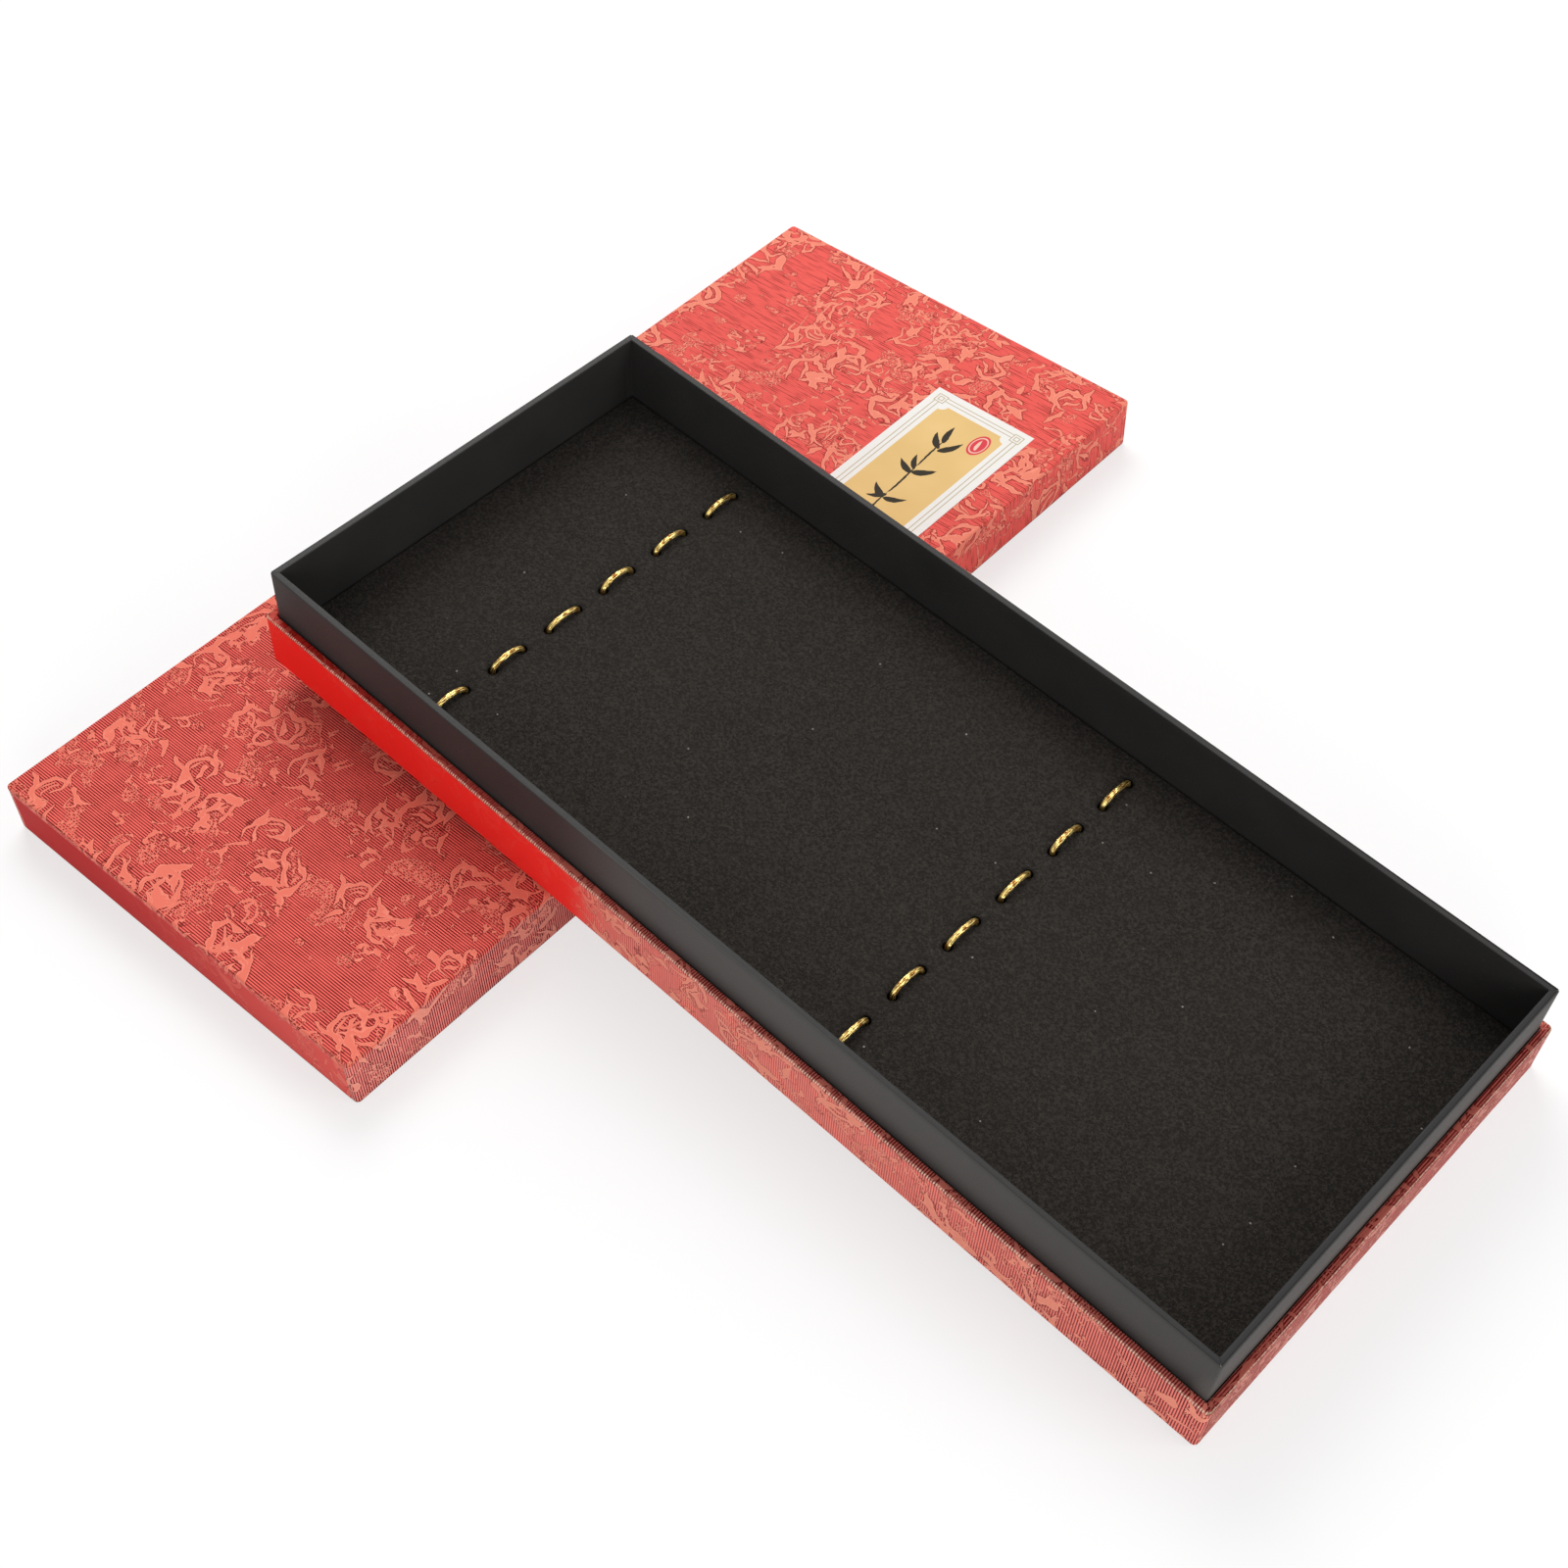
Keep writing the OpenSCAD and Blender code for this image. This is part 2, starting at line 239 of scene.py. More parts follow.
def brush_curl():
    """One curled brush stroke that winds inwards, as brush_dab gives it."""
    tree, g, start, end = new_group("brush_curl", "X", "Y", "Angle", "Radius", "Width")
    x, y, _ = stroke_place(g, start)
    share = g.times(g.math("ARCTAN2", y, x), 0.5 / pi, 0.5)
    line = g.times(start["Radius"], g.times(share, -CURL_IN, 1.0))
    taper = g.math("SQRT", g.times(share, g.minus(1.0, share)))
    half = g.times(taper, start["Width"], -CURL_THIN)
    g.feed(end[0], g.minus(half, g.apart(g.length(x, y), line)))
    return tree


# Two generic motifs of brush strokes. A dab is X, Y, angle in degrees, length, bend, width.
# A curl is X, Y, angle in degrees, radius, width. All lengths are millimetres
CURL_CURLS = ((-1, 0.5, 200, 6.2, 1.8), (6, -5.5, 20, 2.8, 1.3))
CURL_DABS = ((-9, 6.5, 12, 13, -1.4, 2.0), (1, -6, -35, 10, 1.3, 1.8), (5, 4, 60, 8, 0.6, 2.5),
             (-3.5, -1, 80, 6, 0.4, 1.2), (-1, -2, 74, 7, 0.4, 1.4), (-7, -6, 8, 8, 0.8, 1.6))
SPRAY_DABS = ((-6, 1, 48, 9, 0.9, 2.5), (1, -3.5, 150, 12, -1.6, 1.6), (2, 2, -38, 8, -0.8, 2.5),
              (4, -5, 80, 9, 0.9, 1.5), (-2, 6, 5, 8, 0.8, 1.7), (-3, 3.4, 2, 9, -0.7, 1.3))


def stroke_depths(g, place, strokes, group):
    """How deep a place lies inside each of these strokes, which are all dabs or all curls."""
    depths = []
    for x, y, angle, *sizes in strokes:
        node = g.add("ShaderNodeGroup", node_tree=group)
        for socket, value in zip(node.inputs, (place, x, y, radians(angle), *sizes)):
            g.feed(socket, value)
        depths.append(node.outputs[0])
    return depths


def motif(name, dabs, curls, dab_group, curl_group):
    """Joins strokes into one motif, drawn round its own origin."""
    tree, g, start, end = new_group(name)
    depths = stroke_depths(g, start["Vector"], dabs, dab_group)
    g.feed(end[0], g.most(*depths, *stroke_depths(g, start["Vector"], curls, curl_group)))
    return tree


def scattered(g, group, place, warp, spacing):
    """One motif in each random cell of the sheet, turned and sized by chance."""
    cell = g.cells(place, spacing)
    random = g.split(cell["Color"])
    local = g.vector("SUBTRACT", g.vector("ADD", place, warp), cell["Position"])
    turned = g.turn(local, g.times(random[0], 2 * pi))
    scaled = g.vector("SCALE", turned, g.ramp(random[1], 0.0, 1.0, 0.9, 1.3))
    return g.add("ShaderNodeGroup", {0: scaled}, node_tree=group).outputs[0]


def flowing_strokes(g, place, size, widest):
    """Strokes that wind about, swell and break off: contour lines of smooth noise."""
    field = g.add("ShaderNodeTexNoise",
                  {"Vector": place, "Scale": 1 / size, "Detail": 0.0, "Distortion": 1.1}).outputs["Fac"]
    swell = g.ramp(g.noise(g.vector("ADD", place, (71, 13, 0)), 0.5 * size, 1.0), 0.36, 0.66, -0.1, widest)
    return g.minus(swell, g.times(g.apart(field, 0.5), 3.0 * size))


def stroke_knot(g, place, sway, size, spacing, reach):
    """Knots of winding strokes, each inside a round patch of its own."""
    cell = g.cells(g.vector("ADD", place, g.vector("SCALE", sway, 9.0)), spacing, 0.75)
    inside = g.minus(reach, g.times(cell["Distance"], spacing))
    return g.least(flowing_strokes(g, place, size, 0.19 * size), inside)


def squiggles(g, sheet, strokes):
    """Patches of fine squiggles, clear of the strokes."""
    line = g.times(g.minus(0.07, g.apart(g.noise(sheet, 1.15, 0.0), 0.5)), 9.0)
    patch = g.times(g.minus(g.noise(g.vector("ADD", sheet, (40, 40, 0)), 11.0, 1.0), 0.59), 40)
    return g.least(line, g.least(patch, g.minus(-0.7, strokes)))


def print_group():
    """Strokes scattered over a sheet of paper: how deep a point lies inside one, in millimetres."""
    dab, curl = brush_dab(), brush_curl()
    curls = motif("curls", CURL_DABS, CURL_CURLS, dab, curl)
    spray = motif("spray", SPRAY_DABS, (), dab, curl)
    tree, g, start, end = new_group("brush_print")
    sheet = start["Vector"]
    sway, fray = g.jitter(sheet, 6.0, 1.0), g.jitter(sheet, 1.1, 1.0)
    warp = g.vector("ADD", g.vector("SCALE", sway, 6.0), g.vector("SCALE", fray, 0.6))
    depths = []
    for group, spacing, shift in ((curls, 31, (14, 9, 0)), (spray, 27, (5, 17, 0))):
        depths.append(scattered(g, group, g.vector("ADD", sheet, shift), warp, spacing))
    for size, spacing, reach, shift in ((9.0, 29, 11.0, (3, 21, 0)), (6.0, 23, 6.5, (33, 8, 0))):
        place = g.vector("ADD", g.vector("ADD", sheet, shift), g.vector("SCALE", fray, 0.9))
        depths.append(stroke_knot(g, place, sway, size, spacing, reach))
    strokes = g.most(*depths)
    g.feed(end[0], g.most(strokes, squiggles(g, sheet, strokes)))
    return tree, dab


class MaterialGraph(Graph):
    """A new material with one Principled shader."""

    def __init__(self, name, colour, roughness, **sockets):
        self.material = bpy.data.materials.new(name)
        self.material.use_nodes = True
        self.material.diffuse_color = (*colour, 1)
        super().__init__(self.material.node_tree)
        self.shader = self.tree.nodes["Principled BSDF"].inputs
        self.shader["Base Color"].default_value = (*colour, 1)
        self.shader["Roughness"].default_value = roughness
        for key, value in sockets.items():
            self.shader[key.replace("_", " ")].default_value = value

    def millimetres(self):
        """The piece's own coordinates in millimetres."""
        return self.vector("SCALE", self.add("ShaderNodeTexCoord").outputs["Object"], 1000.0)

    def dress(self, tone, rough, height, depth, strength=1.0):
        """Feeds a colour, a roughness, and a height of 0 to 1 as relief of that depth in millimetres."""
        relief = self.add("ShaderNodeBump", {"Height": height, "Distance": depth * MM, "Strength": strength})
        for socket, value in (("Base Color", tone), ("Roughness", rough), ("Normal", relief.outputs[0])):
            self.feed(self.shader[socket], value)
        return self.material


def past_box(g, x, y):
    """How far a place lies past the ends and past the sides of the box."""
    return g.minus(g.math("ABSOLUTE", x), BOX_L / 2), g.minus(g.math("ABSOLUTE", y), BOX_W / 2)


RIB_PITCH = 0.735
# The red paper's crests and print made paler by painted light bounced from the floor, a painted glint, and a
# painted highlight on the print's edges
BOUNCE_LIT_CREST, BOUNCE_LIT_PRINT = (0.85, 0.70, 0.65, 1), (0.70, 0.60, 0.50, 1)
GLINT, PRINT_EDGE_HIGHLIGHT = (0.93, 0.62, 0.48, 1), (0.95, 0.36, 0.26, 1)


def bare_walls(g, u, v, out_u, wall, bare_ends, plain):
    """How smooth the end walls are, and how bare all walls are of ribs and print."""
    smooth = g.times(g.ramp(out_u, 1.0, 2.5, 0.0, bare_ends), wall)
    bare = g.times(smooth, g.ramp(v, -40, BOX_W / 2 + 8, 1.0, 0.5))
    if plain is not None:
        # The base's left wall bare and plain red up to plain: painted red light bounced from the lid
        left = g.times(g.ramp(v, -BOX_W / 2, -BOX_W / 2 + 1, 0.93, 0.0), wall)
        bare = g.most(bare, g.times(g.ramp(u, plain, plain + 16, 1.0, 0.0), left))
    return smooth, bare


def ribs(g, sheet, u, v, strength):
    """The wave of the ribs from 0 to 1, and how hard they are pressed in."""
    slub = g.noise(g.join(g.times(u, 1.3), g.times(v, 0.12)), 1.0, 2.0)
    phase = g.times(u, 2 * pi / RIB_PITCH, g.times(slub, 1.6))
    wave = g.times(g.math("SINE", phase), 0.5, 0.5)
    worn = g.ramp(g.noise(g.vector("ADD", sheet, (7, 90, 0)), 9.0, 3.0), 0.35, 0.6, 0.85, 1.0)
    streak = g.ramp(slub, 0.46, 0.62, 0.1, 0.75)
    return wave, g.most(g.times(strength, worn), streak)


def rim_glints(g, sheet, past, height, wave):
    """Along the rim, short glints on the folded ribs: painted highlights."""
    fold = g.ramp(g.apart(past, height - 0.5), 0.25, 0.6, 1.0, 0.0)
    broken = g.times(fold, g.ramp(g.noise(sheet, 0.8, 1.0, 0.7), 0.40, 0.55, 0.2, 0.95))
    return g.times(broken, g.ramp(wave, 0.4, 0.8, 0.15, 1.0))


def red_paper(name, prints, height, faint_at, deep_at, tones, bare_ends=0.0, plain=None, low_end_shade=0.0,
              wall_ribs=1.0, floor_bounce=0.0):
    """Ribbed red paper with a flat coral print. Its map unfolds the sheet, in millimetres.

    The ribs are deepest at deep_at along the sheet and faintest at faint_at. The tones are crest,
    valley and print where they are deep, crest and print where they are faint, and bare walls. The
    shift of tone from faint_at to deep_at is painted light and shade along the sheet, and the valley
    tone is painted shade in the ribs' valleys. End walls are bare by the share bare_ends, with some
    print at their high-v corner. The left long wall is bare up to plain, where its plain red tone is
    painted red light bounced from the lid. With low_end_shade, the low end's wall is darker by that
    share, as painted shade, and the long walls' ribs grow towards it from the share wall_ribs. The
    long walls are paler by the share floor_bounce near the left end, as painted light bounced from
    the floor. The glints along the rim and the pale band inside the print's edges are painted
    highlights.
    """
    g = MaterialGraph(name, tones[0], 0.45, Specular_IOR_Level=0.035)
    crest, deep, coral, crest_faint, coral_faint, plain_red = [(*tone, 1) for tone in tones]
    sheet = g.add("ShaderNodeUVMap", uv_map="sheet").outputs[0]
    u, v, _ = g.split(sheet)
    out_u, out_v = past_box(g, u, v)
    past = g.most(out_u, out_v)
    rim = g.ramp(past, height - 1.6, height - 0.8)
    smooth, bare = bare_walls(g, u, v, out_u, g.minus(1.0, rim), bare_ends, plain)
    covered = g.minus(1.0, bare)

    depth = g.add("ShaderNodeGroup", {0: sheet}, node_tree=prints).outputs[0]
    inked = g.ramp(depth, -0.06, 0.1)
    printed = g.times(inked, covered)
    outline = g.times(g.minus(g.ramp(depth, -0.38, -0.16), inked, clamp=True), covered)
    print_edge_highlight = g.minus(g.ramp(depth, 0.02, 0.14), g.ramp(depth, 0.26, 0.42), clamp=True)

    # From faint_at to deep_at the ribs deepen, and the tones shift with them as painted light and shade
    strength = g.ramp(u, faint_at, deep_at)
    wave, press = ribs(g, sheet, u, v, strength)
    press = g.times(press, g.times(covered, g.minus(1.0, smooth)))
    ribbed = g.times(press, g.minus(1.0, g.times(printed, 0.9)))
    # Darker valleys between the ribs: painted shade
    valley = g.times(g.ramp(wave, 0.1, 0.75, 1.0, 0.0), ribbed)
    if low_end_shade:
        on_wall = g.ramp(u, 50, BOX_L / 2, wall_ribs, 1.0)
        valley = g.times(valley, g.ramp(rim, 0.0, 1.0, on_wall, 1.0))

    grain = g.noise(sheet, 0.35, 3.0, 0.6)
    base = g.mix(bare, g.mix(strength, crest_faint, crest), plain_red)
    ink = g.mix(strength, coral_faint, coral)
    ink = g.mix(g.ramp(grain, 0.35, 0.75, 0.0, 0.3), ink, crest)
    # A pale band just inside the print's edges: painted highlight
    ink = g.mix(g.times(print_edge_highlight, 0.3), ink, PRINT_EDGE_HIGHLIGHT)
    # Long walls paler towards the left end: painted light bounced from the floor
    if floor_bounce:
        pale = g.times(g.ramp(out_v, 0.3, 1.5), g.ramp(u, -60, 60, floor_bounce, 0.0))
        base, ink = g.mix(pale, base, BOUNCE_LIT_CREST), g.mix(pale, ink, BOUNCE_LIT_PRINT)
    base = g.mix(g.times(outline, 0.6), g.mix(valley, base, deep), deep)
    tone = g.mix(g.times(printed, g.times(rim, -0.6, 1.0)), base, ink)
    tone = g.mix(g.times(rim, 0.4), tone, deep)
    # Pale glints along the rim: painted highlights
    tone = g.mix(rim_glints(g, sheet, past, height, wave), tone, GLINT)
    # The low end's wall darker: painted shade
    if low_end_shade:
        tone = g.mix(g.ramp(u, BOX_L / 2 - 0.5, BOX_L / 2 + 1.5, 0.0, low_end_shade), tone, deep)
    rough = g.times(rim, -0.2, g.ramp(printed, 0.0, 1.0, 0.46, 0.38))
    relief = g.times(printed, 0.35, g.times(wave, ribbed))
    return g.dress(tone, rough, g.times(grain, 0.15, relief), 0.11)


# The neck's paper where it is paler with a painted reflection of the floor and with scuffs and painted
# light, on its low end's rim, and along the cut edge
REFLECTION_AND_SCUFF_GREY, RIM_BLACK = (0.095, 0.089, 0.083, 1), (0.006, 0.0065, 0.0075, 1)
CUT_BLACK = (0.002, 0.002, 0.002, 1)
CUT_AT = NECK_INSET + 0.5


def neck_scuffs_and_painted_light(g, place, tone):
    """Greyer outer walls beyond the lid, a painted reflection of the floor; a low end wall paler towards its
    foot, with scuffs and painted light; and at the low end a darker rim with its cut edge's line.
    """
    x, y, z = g.split(place)
    out = g.most(*past_box(g, x, y))
    on_rim = g.ramp(z, TRAY_H - 0.4, TRAY_H - 0.25)
    outside = g.ramp(out, -CUT_AT, -NECK_INSET - 0.2)
    # Paler outer walls beyond the lid: painted reflection of the white floor
    floor_reflection = g.times(g.ramp(z, BASE_H, BASE_H + 8, 0.4, 1.0), g.ramp(x, -55, -25, 0.0, 0.42))
    floor_reflection = g.times(floor_reflection, g.ramp(x, 40, 165, 1.0, 0.6))
    # The low end wall paler towards its foot: scuffs, and painted light
    low_end_light_and_scuffs = g.times(g.ramp(z, BASE_H + 1, TRAY_H - 2, 1.0, 0.3), g.ramp(x, 155, 162, 0.0, 0.7))
    tone = g.mix(g.times(outside, g.most(floor_reflection, low_end_light_and_scuffs)), tone, REFLECTION_AND_SCUFF_GREY)
    top = g.times(on_rim, g.ramp(out, -NECK_INSET - 0.7, -CUT_AT, 1.0, 0.0))
    tone = g.mix(g.times(top, g.ramp(x, 150, 162, 0.0, 0.55)), tone, RIM_BLACK)
    line = g.ramp(g.apart(out, -CUT_AT), 0.08, 0.24, 1.0, 0.0)
    return g.mix(g.times(line, g.times(on_rim, g.ramp(x, 0, 150, 0.15, 0.9))), tone, CUT_BLACK)


def black_paper(name, colour, sheen, worn=False):
    """Uncoated black paper with a fine felted grain and a few lighter fibres."""
    g = MaterialGraph(name, colour, 0.62, Specular_IOR_Level=sheen)
    place = g.millimetres()
    grain = g.noise(place, 0.35, 4.0, 0.65)
    fibre = g.ramp(g.noise(g.vector("MULTIPLY", place, (0.35, 1.8, 1.0)), 0.5, 2.0), 0.66, 0.78)
    cloud = g.noise(place, 18.0, 3.0)
    light = tuple(1.6 * c for c in colour)
    dark = tuple(0.75 * c for c in colour)
    tone = g.mix(cloud, (*dark, 1), (*light, 1))
    tone = g.mix(g.times(fibre, 0.4), tone, (0.07, 0.065, 0.065, 1))
    # The neck's scuffs and cut edge, with painted light and a painted reflection of the floor
    if worn:
        tone = neck_scuffs_and_painted_light(g, place, tone)
    return g.dress(tone, g.ramp(grain, 0.2, 0.8, 0.5, 0.72), g.times(cloud, 1.5, grain), 0.03, 0.7)


def foam_material():
    """Closed-cell foam: a fine pebbled skin with open cells and a few pale specks of dust."""
    g = MaterialGraph("foam", (0.022, 0.019, 0.0165), 0.92, Specular_IOR_Level=0.1)
    place = g.millimetres()
    cell = g.add("ShaderNodeTexVoronoi", {"Vector": place, "Scale": 1.9}, feature="F1").outputs["Distance"]
    grain = g.noise(place, 0.5, 3.0, 0.7)
    cloud = g.noise(place, 30.0, 3.0)
    shift = g.vector("SCALE", g.noise(place, 1.2, 1.0, colour=True), 0.5)
    speck = g.cells(g.vector("ADD", place, shift), 16.0, 1.0)
    dust = g.ramp(speck["Distance"], 0.010, 0.020, 1.0, 0.0)
    chosen = g.ramp(g.split(speck["Color"])[0], 0.76, 0.8)
    pores = g.ramp(g.noise(place, 0.8, 3.0, 0.8), 0.4, 0.6)
    tone = g.mix(pores, (0.0125, 0.0108, 0.0094, 1), (0.037, 0.032, 0.0275, 1))
    tone = g.mix(g.times(cloud, 0.25), tone, (0.045, 0.037, 0.031, 1))
    salt = g.ramp(g.noise(g.vector("ADD", place, (50, 0, 0)), 0.7, 2.0, 0.7), 0.60, 0.72)
    tone = g.mix(g.times(salt, 0.6), tone, (0.085, 0.073, 0.062, 1))
    tone = g.mix(g.times(dust, chosen), tone, (0.30, 0.28, 0.26, 1))
    # The dimples and the holes are darker than the pad's faces: painted shade
    x, y, z = g.split(place)
    from_side = g.least(g.minus(PAD_HALF_L, g.math("ABSOLUTE", x)),
                       g.minus(PAD_HALF_W, g.math("ABSOLUTE", y)))
    hole = g.times(g.ramp(from_side, 1.0, 2.0), g.ramp(z, PAD_TOP - 0.8, PAD_TOP - 0.2, 1.0, 0.0))
    hole = g.times(hole, g.ramp(z, PAD_Z + 0.05, PAD_Z + 0.4))
    tone = g.mix(hole, tone, (0.003, 0.003, 0.003, 1))
    relief = g.times(pores, 0.8, g.times(grain, 0.8, cell))
    return g.dress(tone, g.ramp(grain, 0.2, 0.8, 0.8, 1.0), relief, 0.2)


def gold_cord():
    """Elastic cord covered in a braid of metal thread. Its map is round and along, in millimetres."""
    g = MaterialGraph("elastic_cord", (0.95, 0.62, 0.16), 0.28, Metallic=0.8)
    round_, along, _ = g.split(g.add("ShaderNodeUVMap", uv_map="sheet").outputs[0])
    thread = g.noise(g.join(g.times(round_, 1.5), g.times(along, 0.3)), 0.6, 2.0, 0.6)
    turn = g.times(round_, STRANDS / 2 / CORD_R)
    waves = [g.math("SINE", g.times(along, way * pi / STRAND_LAY, turn)) for way in (1, -1)]
    braid = g.most(*(g.math("ABSOLUTE", wave) for wave in waves))
    gap = g.ramp(braid, 0.55, 0.85, 1.0, 0.0)
    # Dark and bright streaks along the threads: the threads' own tones, with painted highlights and shade
    gold = g.mix(g.ramp(thread, 0.42, 0.53), (0.28, 0.085, 0.004, 1), (1.0, 0.79, 0.27, 1))
    # Darker low down, near and under the pad's top: painted shade in the holes
    height = g.split(g.millimetres())[2]
    gold = g.mix(g.ramp(height, PAD_TOP - 0.4, PAD_TOP + 1.0, 0.6, 0.0), gold, (0.16, 0.05, 0.004, 1))
    # Darker between the strands: painted shade
    gold = g.mix(g.times(gap, 0.85), gold, (0.09, 0.03, 0.003, 1))
    return g.dress(gold, g.ramp(thread, 0.35, 0.65, 0.4, 0.15), g.times(thread, 1.2, braid), 0.1)


def board_material():
    """Greyboard: recycled pulp with dark flecks."""
    g = MaterialGraph("greyboard", (0.28, 0.25, 0.20), 0.9)
    place = g.millimetres()
    pulp = g.noise(place, 1.2, 4.0, 0.7)
    fleck = g.ramp(g.noise(g.vector("MULTIPLY", place, (1.0, 0.4, 1.0)), 0.6, 1.0), 0.68, 0.74)
    tone = g.mix(pulp, (0.21, 0.19, 0.155, 1), (0.36, 0.33, 0.27, 1))
    tone = g.mix(fleck, tone, (0.09, 0.08, 0.07, 1))
    return g.dress(tone, g.ramp(pulp, 0.0, 1.0, 0.8, 0.98), pulp, 0.05)


def tape_material():
    """Gummed paper tape with long fibres."""
    g = MaterialGraph("paper_tape", (0.48, 0.33, 0.16), 0.7)
    place = g.millimetres()
    fibre = g.noise(g.vector("MULTIPLY", place, (1.0, 1.0, 0.15)), 0.5, 3.0)
    tone = g.mix(fibre, (0.40, 0.26, 0.12, 1), (0.56, 0.40, 0.21, 1))
    return g.dress(tone, g.ramp(fibre, 0.0, 1.0, 0.6, 0.8), fibre, 0.03)


def add_object(name, data):
    made = bpy.data.objects.new(name, data)
    bpy.context.collection.objects.link(made)
    return made


def add_piece(name, points, faces, place, body, material, nodes, maps=None, crease=35):
    """Makes one piece from points in millimetres, says what it rides on, and hides the nodes it stands for.
    """
    mesh = bpy.data.meshes.new(name)
    mesh.from_pydata([Vector(p) * MM for p in points], [], faces)
    if maps:
        layer = mesh.uv_layers.new(name="sheet")
        for loop, uv in zip(layer.data, [uv for face in maps for uv in face]):
            loop.uv = uv
    mesh.materials.append(MATERIALS[material])
    mesh.validate()
    mesh.shade_smooth()
    mesh.set_sharp_from_angle(angle=radians(crease))
    piece = add_object(name, mesh)
    piece.matrix_world = place
    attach(piece, body)
    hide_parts(*nodes)
    return piece


# A box-shaped sheet is lofted from rings that all take the same stops round the box
ARC_STEPS, LONG_STEPS, SHORT_STEPS = 6, 32, 13
# Widths of the long wall's strip round the corner and of the gap past it, whose depth is in recesses
STRIP, GAP, GAP_DEPTH = 0.9, 0.3, 2.2
WAVE_LENGTH, LEAST_RADIUS, MITRE_SPREAD = 28, 0.12, radians(16)


def stops():
    """The stops round a box, as (kind, signs of the corner, angle or share).

    A long wall's paper turns round the corner in a strip. The end wall's paper starts past a thin gap.
    """
    found = []
    for sx, sy, start in ((1, 1, 0), (-1, 1, 90), (-1, -1, 180), (1, -1, 270)):
        for i in range(ARC_STEPS + 1):
            found.append(("arc", sx, sy, radians(start + 90 * i / ARC_STEPS)))
        if sx * sy > 0:
            for i in range(1, LONG_STEPS):
                found.append(("long", sx, sy, 1 - 2 * i / LONG_STEPS))
        else:
            found += [("strip", sx, sy, 0.0), ("gap", sx, sy, 0.25 * GAP), ("gap", sx, sy, 0.75 * GAP)]
            for i in range(SHORT_STEPS + 1):
                found.append(("end", sx, sy, 1 - 2 * i / SHORT_STEPS))
            found += [("gap", sx, -sy, 0.75 * GAP), ("gap", sx, -sy, 0.25 * GAP), ("strip", sx, -sy, 0.0)]
    return found


STOPS = stops()


def stop_point(stop, inset, radius, recess):
    """Where a stop lies on the outline moved in by inset. Strips lie recess deeper, and gaps more."""
    kind, sx, sy, t = stop
    half_l, half_w = BOX_L / 2 - inset, BOX_W / 2 - inset
    flat_w = half_w - CORNER_R - STRIP
    if kind == "long":
        return sx * t * (half_l - CORNER_R), sy * half_w
    if kind == "strip":
        return sx * (half_l - recess), sy * flat_w
    if kind == "gap":
        return sx * (half_l - GAP_DEPTH * recess), sy * (flat_w - t)
    if kind == "end":
        return sx * half_l, sy * t * (flat_w - GAP)
    x = sx * (half_l - radius) + radius * cos(t) - sx * recess * cos(t) ** 2
    return x, sy * (half_w - radius) + radius * sin(t)


def panel_of(a, b, on_rim):
    """Which wall's paper covers the box between two neighbouring stops."""
    kinds = {a[0], b[0]}
    if "long" in kinds:
        return "long"
    if "end" in kinds or "gap" in kinds:
        return "end"
    if not on_rim:
        return "long"
    if "strip" in kinds:
        return "end"
    middle = (a[3] + b[3]) / 2
    return "long" if abs(sin(middle)) > abs(cos(middle)) else "end"


def sheet_place(stop, point, along, panel, on_rim):
    """A stop's place on the unfolded sheet, along millimetres past the edge of the closed face."""
    kind, sx, sy, t = stop
    x, y, _ = point
    if panel == "end":
        return sx * (BOX_L / 2 + along), y
    if kind == "long" or on_rim:
        return x, sy * (BOX_W / 2 + along)
    past = pi / 2 * CORNER_R + STRIP
    if kind == "arc":
        past = CORNER_R * atan2(abs(cos(t)), abs(sin(t)))
    return sx * (BOX_L / 2 - CORNER_R + past), sy * (BOX_W / 2 + along)


def loft(rings, start_inset, corner, mitre=0.0, groove=None, wave=0.05):
    """Points, faces and map of a sheet wrapped round the box, with corners of that radius at start_inset.

    A ring is (inset, height, distance along the sheet, recess of the corner strip, share of the mitre).
    """
    points, faces, maps = [], [], []
    count = len(STOPS)
    for inset, z, _, recess, mitred in rings:
        radius = max(corner - (inset - start_inset), LEAST_RADIUS)
        for stop in STOPS:
            x, y = stop_point(stop, inset, radius, recess)
            sway = wave * noise.noise(Vector((x, y, 3 * z)) / WAVE_LENGTH)
            x -= copysign(sway, x) * (stop[0] == "end")
            y -= copysign(sway, y) * (stop[0] == "long")
            dip = 0
            if stop[0] == "arc":
                off = abs(atan2(abs(sin(stop[3])), abs(cos(stop[3]))) - pi / 4)
                dip = mitre * mitred * max(0, 1 - off / MITRE_SPREAD)
            if groove and mitred:
                dip += groove(stop, inset)
            points.append((x, y, z - dip))
    for r in range(len(rings) - 1):
        on_rim = rings[r][4] and rings[r + 1][4]
        for i in range(count):
            j = (i + 1) % count
            faces.append((r * count + i, r * count + j, (r + 1) * count + j, (r + 1) * count + i))
            panel = panel_of(STOPS[i], STOPS[j], on_rim)
            maps.append([sheet_place(STOPS[s], points[q * count + s], rings[q][2], panel, on_rim)
                         for s, q in ((i, r), (j, r), (j, r + 1), (i, r + 1))])
    return points, faces, maps


def curve_rings(centre_inset, centre_z, radius, start, stop, along, recess, mitred, steps=5):
    """Rings round a rounded edge. Angles are in degrees: 180 faces outwards and 90 faces up."""
    rings = []
    for i in range(steps + 1):
        a = radians(start + (stop - start) * i / steps)
        inset, z = centre_inset + radius * cos(a), centre_z + radius * sin(a)
        rings.append((inset, z, along + abs(a - radians(start)) * radius, recess, mitred))
    return rings


